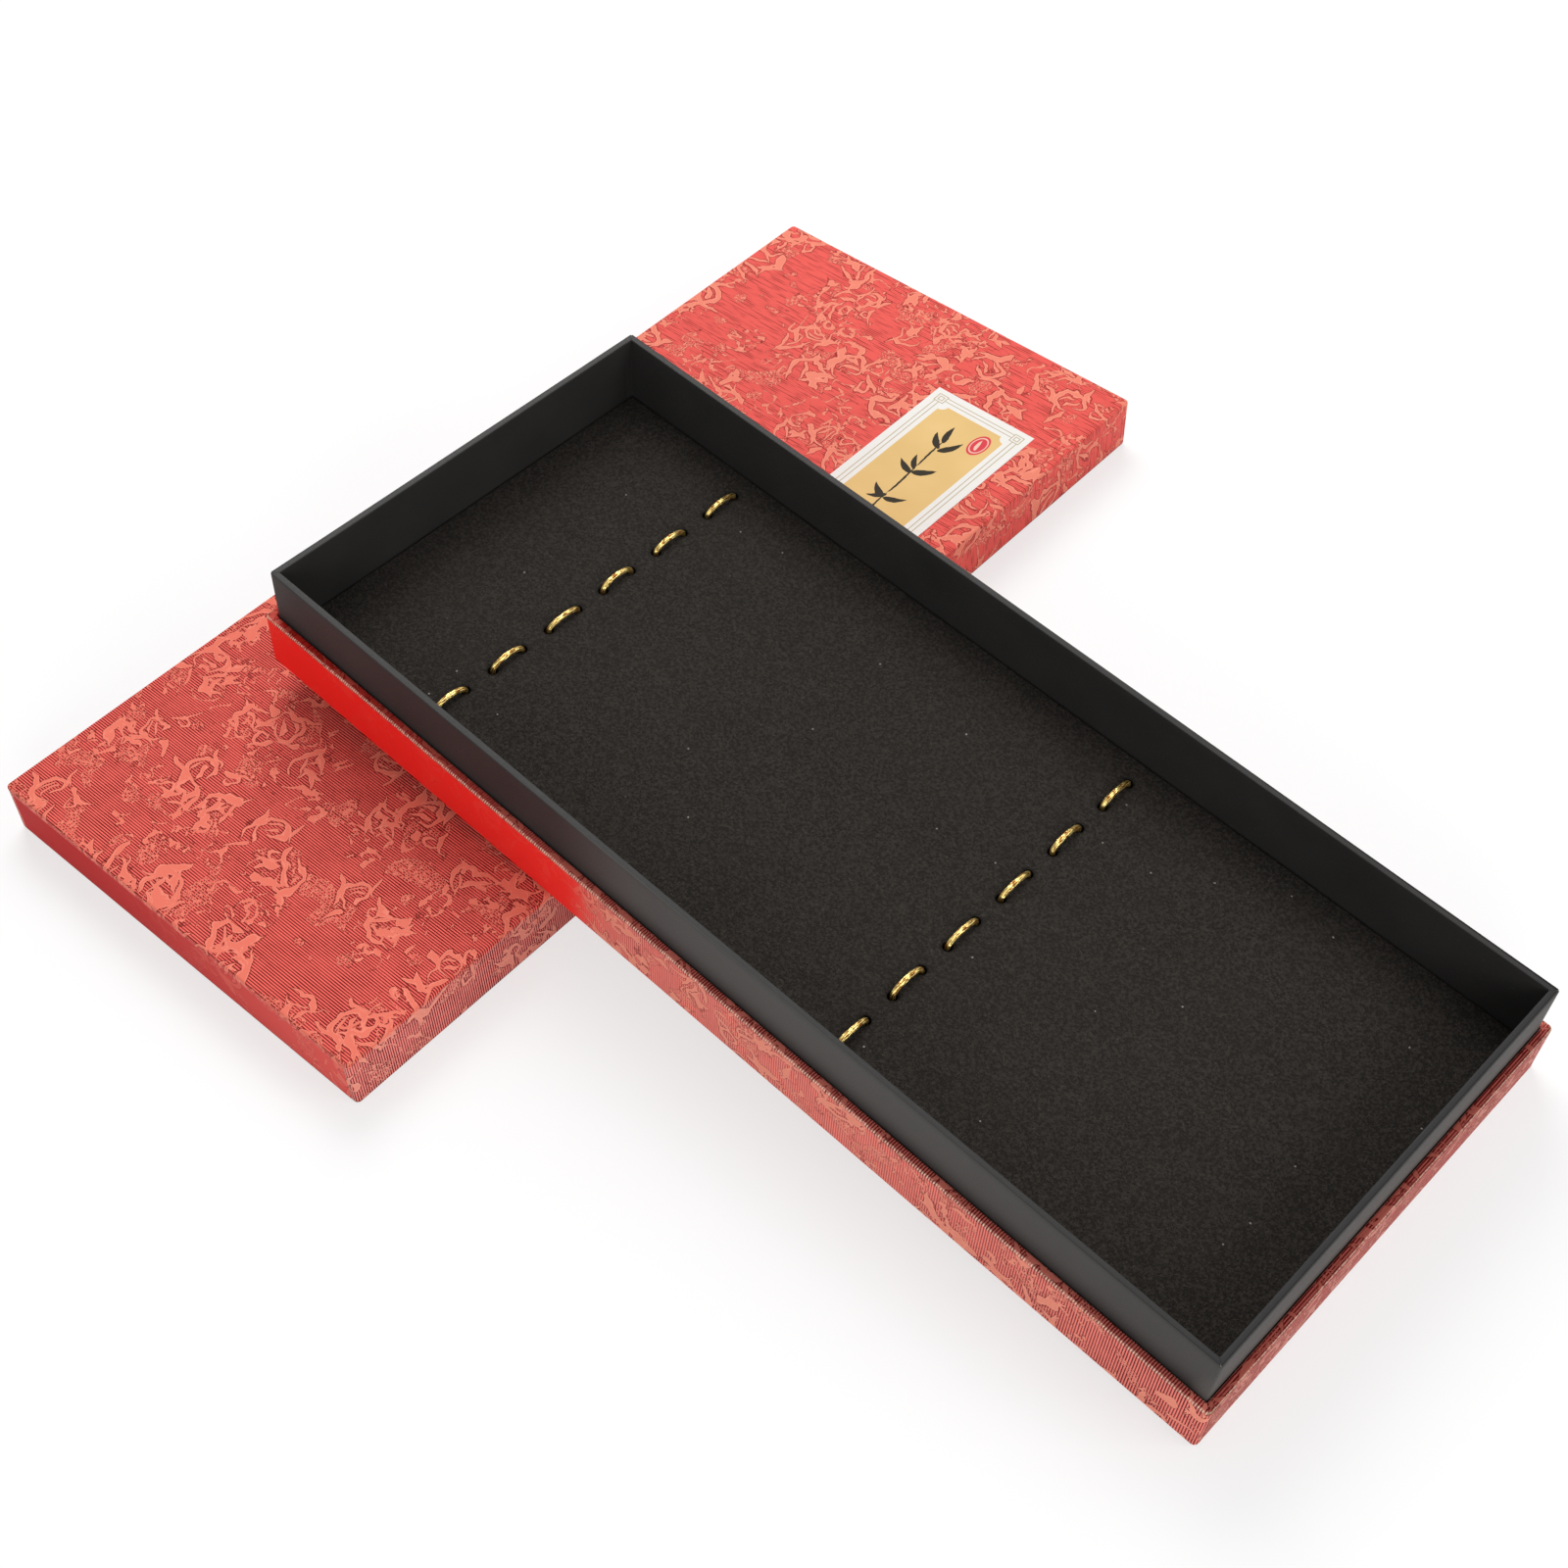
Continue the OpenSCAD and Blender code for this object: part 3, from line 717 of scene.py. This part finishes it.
def cover(h):
    """The covering paper of a shell of height h, closed face at the bottom, turned in over its rim."""
    edge, recess = 0.7, 0.1
    quarter = edge * pi / 2

    def up_wall(z):
        """Distance along the sheet to the height z of its outer wall."""
        return z - edge + quarter - edge

    rings = curve_rings(edge, edge, edge, 270, 180, -edge, 0.0, 0)
    rings += [(0.0, z, up_wall(z), recess * min(1, (z - edge) / 1.5), 0)
              for z in (1.6, 2.4, 5, 8, 11, 14, h - edge - 1)]
    top = up_wall(h - edge)
    rings += curve_rings(edge, h - edge, edge, 180, 90, top, recess, 1)
    across = top + quarter
    flat = TURNED_INNER - 2 * edge
    rings += [(edge + 0.4 * flat, h, across + 0.4 * flat, 0, 1)]
    rings += curve_rings(TURNED_INNER - edge, h - edge, edge, 90, 0, across + flat, 0, 1)
    down = across + flat + quarter
    rings += [(TURNED_INNER, h - 4, down + 4, 0, 0), (TURNED_INNER, h - TURN_IN, down + TURN_IN, 0, 0)]
    rings += [(TURNED_INNER - PAPER, h - TURN_IN, down + TURN_IN + PAPER, 0, 0)]
    points, faces, maps = loft(rings, 0.0, CORNER_R, mitre=0.22)
    count = len(STOPS)
    faces.append(tuple(reversed(range(count))))
    maps.append([(points[i][0], points[i][1]) for i in reversed(range(count))])
    return points, faces, maps


# The groove along the neck's rim: where it lies past the neck's outside, and its depth
GROOVE_FROM, GROOVE_TO, GROOVE_DEPTH = NECK_INSET + 0.36, NECK_INSET + 0.5, 0.17


def rim_groove(stop, inset):
    """The cut edge of the neck's paper shows as a fine groove along the rim, deepest at the low end."""
    if not GROOVE_FROM <= inset <= GROOVE_TO:
        return 0
    kind, sx, _, t = stop
    share = 1.0 if sx > 0 and kind != "long" else 0.25
    if kind == "long":
        share = max(0.1, 0.9 * t * sx)
    return GROOVE_DEPTH * share


def neck_cover():
    """The black paper round the neck: up its outside, over the rim and down its inside."""
    edge = 0.32
    outer, inner = NECK_INSET, NECK_INNER
    heights = (FLOOR_Z, 8, BASE_H - 1, BASE_H + 1.5, 22, 25, 28, 31, 33.5)
    rings = [(outer, z, z, 0, 0) for z in heights]
    rings += curve_rings(outer + edge, TRAY_H - edge, edge, 180, 90, TRAY_H, 0, 1)
    rings += [(outer + d, TRAY_H, TRAY_H + d, 0, 1) for d in (0.35, 0.38, 0.46, 0.49, 0.9, 1.3)]
    rings += curve_rings(inner - edge, TRAY_H - edge, edge, 90, 0, TRAY_H + 2, 0, 1)
    rings += [(inner, z, 2 * TRAY_H - z, 0, 0) for z in (33, 28, 22, 17, 14, 9, FLOOR_Z)]
    return loft(rings, outer, NECK_R, mitre=0.3, groove=rim_groove, wave=0.1)


# The pad's soft top: how far a dimple reaches, the radius of its edge, and the waves of its skin
DIMPLE_REACH, EDGE_R, SKIN_WAVE, SKIN_WAVE_LENGTH = 3.0, 0.8, 0.05, 22
# Its points: rings round each hole, a grid clear of them, and steps round the edge
RING_RADII, RING_POINTS = (HOLE_R, 1.7, 2.0, 2.4, 3.0, 3.8, 4.7), 24
GRID_X, GRID_Y, GRID_CLEAR, EDGE_STEPS = 64, 26, 5.4, 5
TOP_HALF_L, TOP_HALF_W = PAD_HALF_L - EDGE_R, PAD_HALF_W - EDGE_R


def to_hole(x, y):
    return min(hypot(x - hx, y - hy) for hx, hy in HOLES)


def pad_height(x, y):
    """Height of the pad's top: a little wavy, and pulled down round each hole by the cord."""
    out = max(0.0, min(1.0, (to_hole(x, y) - HOLE_R) / DIMPLE_REACH))
    pull = DIMPLE * (1 - out) ** 2
    return PAD_TOP - pull - SKIN_WAVE * (1 + noise.noise(Vector((x, y, 0)) / SKIN_WAVE_LENGTH))


def pad_top_points():
    """Points of the pad's flat top: rings round the holes, and a grid clear of them."""
    points = []
    for hx, hy in HOLES:
        for r in RING_RADII:
            for i in range(RING_POINTS):
                a = 2 * pi * (i + (r > 2.2) * 0.5) / RING_POINTS
                x, y = hx + r * cos(a), hy + r * sin(a)
                points.append((x, y, PAD_TOP - DIMPLE if r == HOLE_R else pad_height(x, y)))
    for i in range(GRID_X + 1):
        for j in range(GRID_Y + 1):
            x, y = TOP_HALF_L * (2 * i / GRID_X - 1), TOP_HALF_W * (2 * j / GRID_Y - 1)
            if to_hole(x, y) > GRID_CLEAR:
                points.append((x, y, pad_height(x, y)))
    return points


def at_edge(x, y):
    """Whether a point lies on the short and on the long edges of the flat top."""
    return abs(abs(x) - TOP_HALF_L) < 1e-4, abs(abs(y) - TOP_HALF_W) < 1e-4


def round_edge(points, faces):
    """Rounds the flat top over, down to the pad's sides."""
    border = [i for i, (x, y, _) in enumerate(points) if any(at_edge(x, y))]
    border.sort(key=lambda i: atan2(points[i][1] / TOP_HALF_W, points[i][0] / TOP_HALF_L))
    last = border
    for step in range(1, EDGE_STEPS + 1):
        a = radians(90 - 90 * step / EDGE_STEPS)
        out, down = EDGE_R * cos(a), EDGE_R * (1 - sin(a))
        ring = []
        for i in border:
            x, y, z = points[i]
            on_end, on_side = at_edge(x, y)
            share = 0.75 if on_end and on_side else 1.0
            ring.append(len(points))
            dx, dy = copysign(out * share, x) * on_end, copysign(out * share, y) * on_side
            points.append((x + dx, y + dy, z - down))
        for k in range(len(border)):
            n = (k + 1) % len(border)
            faces.append([last[k], ring[k], ring[n], last[n]])
        last = ring


def in_a_hole(corners):
    x = sum(c.x for c in corners) / len(corners)
    y = sum(c.y for c in corners) / len(corners)
    return to_hole(x, y) < HOLE_R * 0.98


def pad_top_mesh():
    """The pad's top as fine triangles, with its edge rounded over."""
    marks = pad_top_points()
    flat = [Vector((x, y)) for x, y, _ in marks]
    places, _, triangles, sources, _, _ = delaunay_2d_cdt(flat, [], [], 0, 1e-6)
    faces = [f for f in triangles if not in_a_hole([places[i] for i in f])]
    points = [(p.x, p.y, marks[sources[i][0]][2]) for i, p in enumerate(places)]
    round_edge(points, faces)
    return points, faces


def make_pad():
    """The foam pad: sides, holes and the channels underneath as cut, with a soft top of its own."""
    points, faces = pad_top_mesh()
    cut = frame["nodes"]["foam_pad"].data
    back = TRAY.inverted()
    base = len(points)
    levels = []
    for vertex in cut.vertices:
        x, y, z = (back @ vertex.co) / MM
        levels.append(z)
        # The cut upper edge is tucked in under the rounded one
        on_edge = abs(abs(x) - PAD_HALF_L) < 0.9 or abs(abs(y) - PAD_HALF_W) < 0.9
        if on_edge and z > PAD_TOP - 0.1:
            z = PAD_TOP - EDGE_R - SKIN_WAVE
        points.append((x, y, z))
    for face in cut.polygons:
        if min(levels[i] for i in face.vertices) < PAD_TOP - DIMPLE - 0.01 or is_side(face, back):
            faces.append([base + i for i in face.vertices])
    return add_piece("foam_pad_soft", points, faces, TRAY, "insert", "foam", ["foam_pad"])


def is_side(face, back):
    """True for the pad's upright outer sides."""
    return abs((back.to_3x3() @ face.normal).z) < 0.1 and face.area > 1e-4


BEND_STEPS, LOOP_STEPS = 6, 24
# A knot along the cord's end: steps outwards in knot radii, and the cord's radius there
KNOT_SHAPE = ((1.5, CORD_R), (1, CORD_R), (0.7, 0.75 * KNOT_R), (0, KNOT_R), (-0.7, 0.75 * KNOT_R),
              (-1, CORD_R))


def cord_route(x):
    """The middle of one cord and its thickness: knot, tail and six loops, as (x, y, z, radius)."""
    under = PAD_Z + CORD_R
    bend = 2 * CORD_R
    half = LOOP_SPAN / 2
    knot_y = LOOP_MIDDLES[-1] + half + (bend + KNOT_R)
    tail = [(knot_y + q * KNOT_R, PAD_Z + KNOT_R, r) for q, r in KNOT_SHAPE]
    route = [(x, -y, z, r) for y, z, r in tail]
    turn = [radians(90 * i / BEND_STEPS) for i in range(BEND_STEPS + 1)]
    for k, y in enumerate(LOOP_MIDDLES):
        # No two loops lean or rise quite alike
        lean = 0.3 * sin(2.1 * k + x)
        high = LOOP_RISE + CORD_R + 0.1 + 0.1 * sin(3.7 * k + 0.2 * x)
        route += [(x, y - half - bend * (1 - sin(b)), under + bend * (1 - cos(b)), CORD_R) for b in turn]
        for i in range(LOOP_STEPS + 1):
            a = pi * (1 - i / LOOP_STEPS)
            route.append((x + lean * sin(a), y + half * cos(a), PAD_TOP - CORD_R + high * sin(a), CORD_R))
        route += [(x, y + half + bend * (1 - sin(b)), under + bend * (1 - cos(b)), CORD_R)
                  for b in reversed(turn)]
    return route + [(x, y, z, r) for y, z, r in reversed(tail)]


def even_route(route, step):
    """The same route with a point about every step millimetres."""
    found = [Vector(route[0])]
    for a, b in zip(route, route[1:]):
        a, b = Vector(a), Vector(b)
        count = max(1, round((b - a).xyz.length / step))
        found += [a.lerp(b, i / count) for i in range(1, count + 1)]
    return found


# The cord's tube: points round it, and millimetres from ring to ring
CORD_SIDES, CORD_STEP = 32, 0.2
# Its braid: strands each way, millimetres for one turn, and the depth between strands as a share
STRANDS, STRAND_LAY, BRAID_DEPTH = 8, 5.0, 0.12


def make_cord(name, x):
    """One elastic cord: a tube whose skin rises and falls with the strands of its braid."""
    route = even_route(cord_route(x), CORD_STEP)
    points, faces, maps, lengths = [], [], [], []
    gone = 0.0
    side = Vector((1, 0, 0))
    for i, here in enumerate(route):
        before, after = route[max(i - 1, 0)].xyz, route[min(i + 1, len(route) - 1)].xyz
        up = (after - before).normalized().cross(side).normalized()
        if i:
            gone += (here.xyz - route[i - 1].xyz).length
        lengths.append(gone)
        twist = 2 * pi * gone / STRAND_LAY
        for j in range(CORD_SIDES):
            a = 2 * pi * j / CORD_SIDES
            one, two = sin((STRANDS * a + twist) / 2), sin((STRANDS * a - twist) / 2)
            r = here.w * (1 - BRAID_DEPTH * (1 - max(abs(one), abs(two))))
            points.append(here.xyz + r * cos(a) * side + r * sin(a) * up)
    wide = 2 * pi * CORD_R / CORD_SIDES
    for i in range(len(route) - 1):
        for j in range(CORD_SIDES):
            here, there = i * CORD_SIDES, (i + 1) * CORD_SIDES
            k = (j + 1) % CORD_SIDES
            faces.append((here + j, here + k, there + k, there + j))
            maps.append([(j * wide, lengths[i]), ((j + 1) * wide, lengths[i]),
                         ((j + 1) * wide, lengths[i + 1]), (j * wide, lengths[i + 1])])
    for end in (0, len(route) - 1):
        faces.append([end * CORD_SIDES + j for j in range(CORD_SIDES)])
        maps.append([(0, 0)] * CORD_SIDES)
    return add_piece(name + "_braid", points, faces, TRAY, "insert", "cord", [name], maps,
                     crease=80)


def make_papers():
    """The papers that cover the lid, the base and the neck."""
    points, faces, maps = cover(LID_H)
    add_piece("lid_cover_paper", points, faces, LID, "lid", "red_lid", ["lid_wrap"], maps)
    points, faces, maps = cover(BASE_H)
    add_piece("base_cover_paper", points, faces, TRAY, "tray", "red_base", ["base_wrap"], maps)
    points, faces, _ = neck_cover()
    add_piece("neck_cover_paper", points, faces, TRAY, "tray", "neck", ["neck_wrap"])


def dress_cad():
    """Materials for the pieces that keep their CAD shape."""
    by_slot = {"greyboard": "board", "paper_tape": "tape", "black_paper": "lining", "label_paper": "label"}
    for part in frame["record"]["subparts"]:
        if part["material_slot"] in by_slot:
            for slot in frame["nodes"][part["node"]].material_slots:
                slot.material = MATERIALS[by_slot[part["material_slot"]]]


def cleared_graph(owner):
    owner.use_nodes = True
    owner.node_tree.nodes.clear()
    return Graph(owner.node_tree)


def seen_white(g):
    """1 for rays that see the surround directly or in a gloss."""
    path = g.add("ShaderNodeLightPath").outputs
    return g.most(path["Is Camera Ray"], path["Is Glossy Ray"], path["Is Transmission Ray"])


# The floor, in metres: half its side, how far it lies under the object, and where it turns to white
FLOOR_HALF, FLOOR_DROP, WHITE_FROM, WHITE_TO = 4.0, 0.0002, 0.35, 1.2
WORLD_LIGHT = 0.45


def make_floor():
    """A plain pale floor that keeps the object's shadow and turns to white away from it."""
    mesh = bpy.data.meshes.new("floor")
    corners = [(x * FLOOR_HALF, y * FLOOR_HALF, 0) for x, y in ((-1, -1), (1, -1), (1, 1), (-1, 1))]
    mesh.from_pydata(corners, [], [(0, 1, 2, 3)])
    floor = add_object("floor", mesh)
    floor.location.z = -FLOOR_DROP
    material = bpy.data.materials.new("floor")
    g = cleared_graph(material)
    diffuse = g.add("ShaderNodeBsdfDiffuse", {"Color": (0.9, 0.9, 0.9, 1)})
    white = g.add("ShaderNodeEmission", {"Color": (1, 1, 1, 1), "Strength": 1.0})
    place = g.add("ShaderNodeTexCoord").outputs["Object"]
    away = g.add("ShaderNodeVectorMath", {0: place}, operation="LENGTH").outputs["Value"]
    share = g.times(seen_white(g), g.ramp(away, WHITE_FROM, WHITE_TO, 0.65, 1.0))
    mixed = g.add("ShaderNodeMixShader", {0: share, 1: diffuse.outputs[0], 2: white.outputs[0]})
    g.add("ShaderNodeOutputMaterial", {"Surface": mixed.outputs[0]})
    mesh.materials.append(material)


def make_world():
    """Soft light from all sides, and a surround that is seen as white."""
    world = bpy.data.worlds.new("studio")
    bpy.context.scene.world = world
    g = cleared_graph(world)
    glow = g.add("ShaderNodeBackground", {"Color": (1, 1, 1, 1), "Strength": WORLD_LIGHT})
    plain = g.add("ShaderNodeBackground", {"Color": (1, 1, 1, 1), "Strength": 1.0})
    mixed = g.add("ShaderNodeMixShader", {0: seen_white(g), 1: glow.outputs[0], 2: plain.outputs[0]})
    g.add("ShaderNodeOutputWorld", {"Surface": mixed.outputs[0]})


def add_lamp(name, place, aim, size, power):
    """A square white soft box at place, in metres, facing aim."""
    data = bpy.data.lights.new(name, "AREA")
    data.shape = "SQUARE"
    data.size = size
    data.energy = power
    lamp = add_object(name, data)
    lamp.location = place
    lamp.rotation_euler = (Vector(aim) - Vector(place)).to_track_quat("-Z", "Y").to_euler()


def make_lights():
    add_lamp("key", (0.55, 0.75, 1.15), (0, 0.03, 0.02), 0.9, 16)
    add_lamp("front", (0.35, -1.15, 0.7), (0, -0.05, 0.02), 0.7, 5)
    add_lamp("side", (-0.85, -0.75, 0.5), (-0.02, -0.12, 0.02), 0.45, 4.5)


# The photo's view: sensor and lens in millimetres, place in metres, turn in degrees
SENSOR, LENS = 36, 53.77
CAMERA_PLACE, CAMERA_TURN = (-0.32663, -0.26422, 0.50919), (40.0291, 1.2602, -48.4613)


def make_camera():
    data = bpy.data.cameras.new("camera")
    data.sensor_width, data.lens = SENSOR, LENS
    data.clip_start, data.clip_end = 0.01, 50
    camera = add_object("camera", data)
    camera.location = CAMERA_PLACE
    camera.rotation_euler = [radians(a) for a in CAMERA_TURN]
    bpy.context.scene.camera = camera


# The label: its length and width, and how far it lies from the lid's right end and front side
LABEL_L, LABEL_W, LABEL_END, LABEL_SIDE = 100, 38, 33.7, 12
# Printed on it, in from its edges: two border lines, the corners' frets, and the gold panel
BORDERS, FRET_AT, PANEL_AT, PANEL_NOTCH = (2.7, 4.2), 3.9, 6.0, 2.35
# The red oval: its middle and its half sizes
SEAL_AT, SEAL_HALF = (36.2, -7.8), (5.1, 3.0)
# A bamboo sprig, as dabs, and a pale leaf in the red oval
SPRIG_DABS = ((-20, -1.2, 4, 24, 0.3, 0.9), (2, 0.2, 4, 17, -0.2, 0.85), (17, 1, 3, 16, 0.2, 0.8),
              (27, 1, 40, 8, 0.6, 2.3), (26, 0.5, -28, 9, -0.7, 2.5), (30, 1.5, 12, 8.5, 0.4, 2.2),
              (13, 0.5, 62, 7.5, 0.5, 2.3), (13.5, 0.5, -48, 8, -0.6, 2.6), (15, 0.8, 30, 7, 0.5, 1.9),
              (-1, 0, 55, 7.5, 0.5, 2.4), (-1, -0.2, -58, 7.5, -0.6, 2.3), (1, 0, 128, 6.5, 0.6, 2.0))
SEAL_DABS = ((33.6, -8.1, 8, 5.4, 0.3, 1.3),)


def line_at(g, distance, at):
    """A fine printed line where a distance has one value."""
    return g.ramp(g.apart(distance, at), 0.12, 0.22, 1.0, 0.0)


def label_lines(g, from_end, from_side, inside):
    """Two border lines, which end at a small square fret in each corner."""
    fret = g.most(g.apart(from_end, FRET_AT), g.apart(from_side, FRET_AT))
    borders = g.most(line_at(g, inside, BORDERS[0]), line_at(g, inside, BORDERS[1]))
    frets = g.most(line_at(g, fret, 1.7), line_at(g, fret, 0.8))
    return g.most(g.times(borders, g.ramp(fret, 1.75, 1.8)), frets)


def add_seal(g, x, y, leaf, tone):
    """A red oval with a pale ring and a pale leaf."""
    oval = g.length(g.math("DIVIDE", g.minus(x, SEAL_AT[0]), SEAL_HALF[0]),
                    g.math("DIVIDE", g.minus(y, SEAL_AT[1]), SEAL_HALF[1]))
    ring = g.ramp(g.apart(oval, 0.76), 0.03, 0.08, 1.0, 0.0)
    pale = g.times(g.most(leaf, ring), 0.8)
    seal = g.mix(pale, (0.62, 0.03, 0.06, 1), (0.80, 0.62, 0.50, 1))
    return g.mix(g.ramp(oval, 0.95, 1.03, 0.95, 0.0), tone, seal)


def label_material(dab_group):
    """A white label with border lines, frets, a gold panel, a sprig and a red seal."""
    g = MaterialGraph("label_paper", (0.75, 0.73, 0.69), 0.5, Specular_IOR_Level=0.04)
    middle = (BOX_L / 2 - LABEL_END - LABEL_L / 2, LID_Y - BOX_W / 2 + LABEL_SIDE + LABEL_W / 2, 0)
    local = g.vector("SUBTRACT", g.millimetres(), middle)
    x, y, _ = g.split(local)
    from_end = g.minus(LABEL_L / 2, g.math("ABSOLUTE", x))
    from_side = g.minus(LABEL_W / 2, g.math("ABSOLUTE", y))
    inside = g.least(from_end, from_side)
    white = g.mix(g.noise(local, 3.0, 3.0), (0.74, 0.72, 0.68, 1), (0.78, 0.76, 0.73, 1))
    lines = label_lines(g, from_end, from_side, inside)
    tone = g.mix(g.times(lines, 0.85), white, (0.42, 0.33, 0.18, 1))
    notch = g.length(g.minus(from_end, PANEL_AT), g.minus(from_side, PANEL_AT))
    panel = g.times(g.ramp(inside, PANEL_AT - 0.05, PANEL_AT + 0.05),
                    g.ramp(notch, PANEL_NOTCH - 0.05, PANEL_NOTCH + 0.05))
    gold = g.mix(g.noise(local, 16.0, 2.0), (0.64, 0.42, 0.155, 1), (0.76, 0.53, 0.23, 1))
    tone = g.mix(panel, tone, gold)
    drawn = g.vector("ADD", local, g.vector("SCALE", g.jitter(local, 1.6, 2.0), 0.5))
    sprig = g.ramp(g.most(*stroke_depths(g, drawn, SPRIG_DABS, dab_group)), -0.05, 0.1)
    tone = g.mix(g.times(sprig, 0.97), tone, (0.012, 0.012, 0.011, 1))
    leaf = g.ramp(g.most(*stroke_depths(g, drawn, SEAL_DABS, dab_group)), -0.05, 0.1)
    tone = add_seal(g, x, y, leaf, tone)
    return g.dress(tone, g.ramp(panel, 0.0, 1.0, 0.55, 0.42), g.noise(local, 0.5, 3.0), 0.01)


MATERIALS = {}
# The tones that red_paper asks for, in its order
LID_TONES = ((0.92, 0.148, 0.120), (0.09, 0.001, 0.001), (0.74, 0.178, 0.120), (0.75, 0.105, 0.088),
             (0.73, 0.222, 0.148), (0.47, 0.005, 0.004))
BASE_TONES = ((0.92, 0.235, 0.19), (0.10, 0.001, 0.001), (0.76, 0.26, 0.18), (0.74, 0.03, 0.022),
              (0.74, 0.16, 0.10), (0.90, 0.020, 0.016))


def make_materials():
    prints, dab = print_group()
    MATERIALS.update(
        red_lid=red_paper("red_paper_lid", prints, LID_H, 100.0, -60.0, LID_TONES, bare_ends=1.0,
                          floor_bounce=0.2),
        red_base=red_paper("red_paper_base", prints, BASE_H, -165.0, 20.0, BASE_TONES, plain=-44.0,
                           low_end_shade=0.4, wall_ribs=0.55),
        neck=black_paper("black_paper_neck", (0.0155, 0.0145, 0.0138), 0.3, worn=True),
        lining=black_paper("black_paper_lining", (0.018, 0.017, 0.017), 0.2),
        foam=foam_material(), cord=gold_cord(), board=board_material(), tape=tape_material(),
        label=label_material(dab))


make_camera()
make_floor()
make_world()
make_lights()
make_materials()
make_papers()
pad = make_pad()
make_cord("elastic_cord_high", ROW_HIGH)
make_cord("elastic_cord_low", ROW_LOW)
dress_cad()

bpy.context.scene.view_settings.view_transform = "Standard"
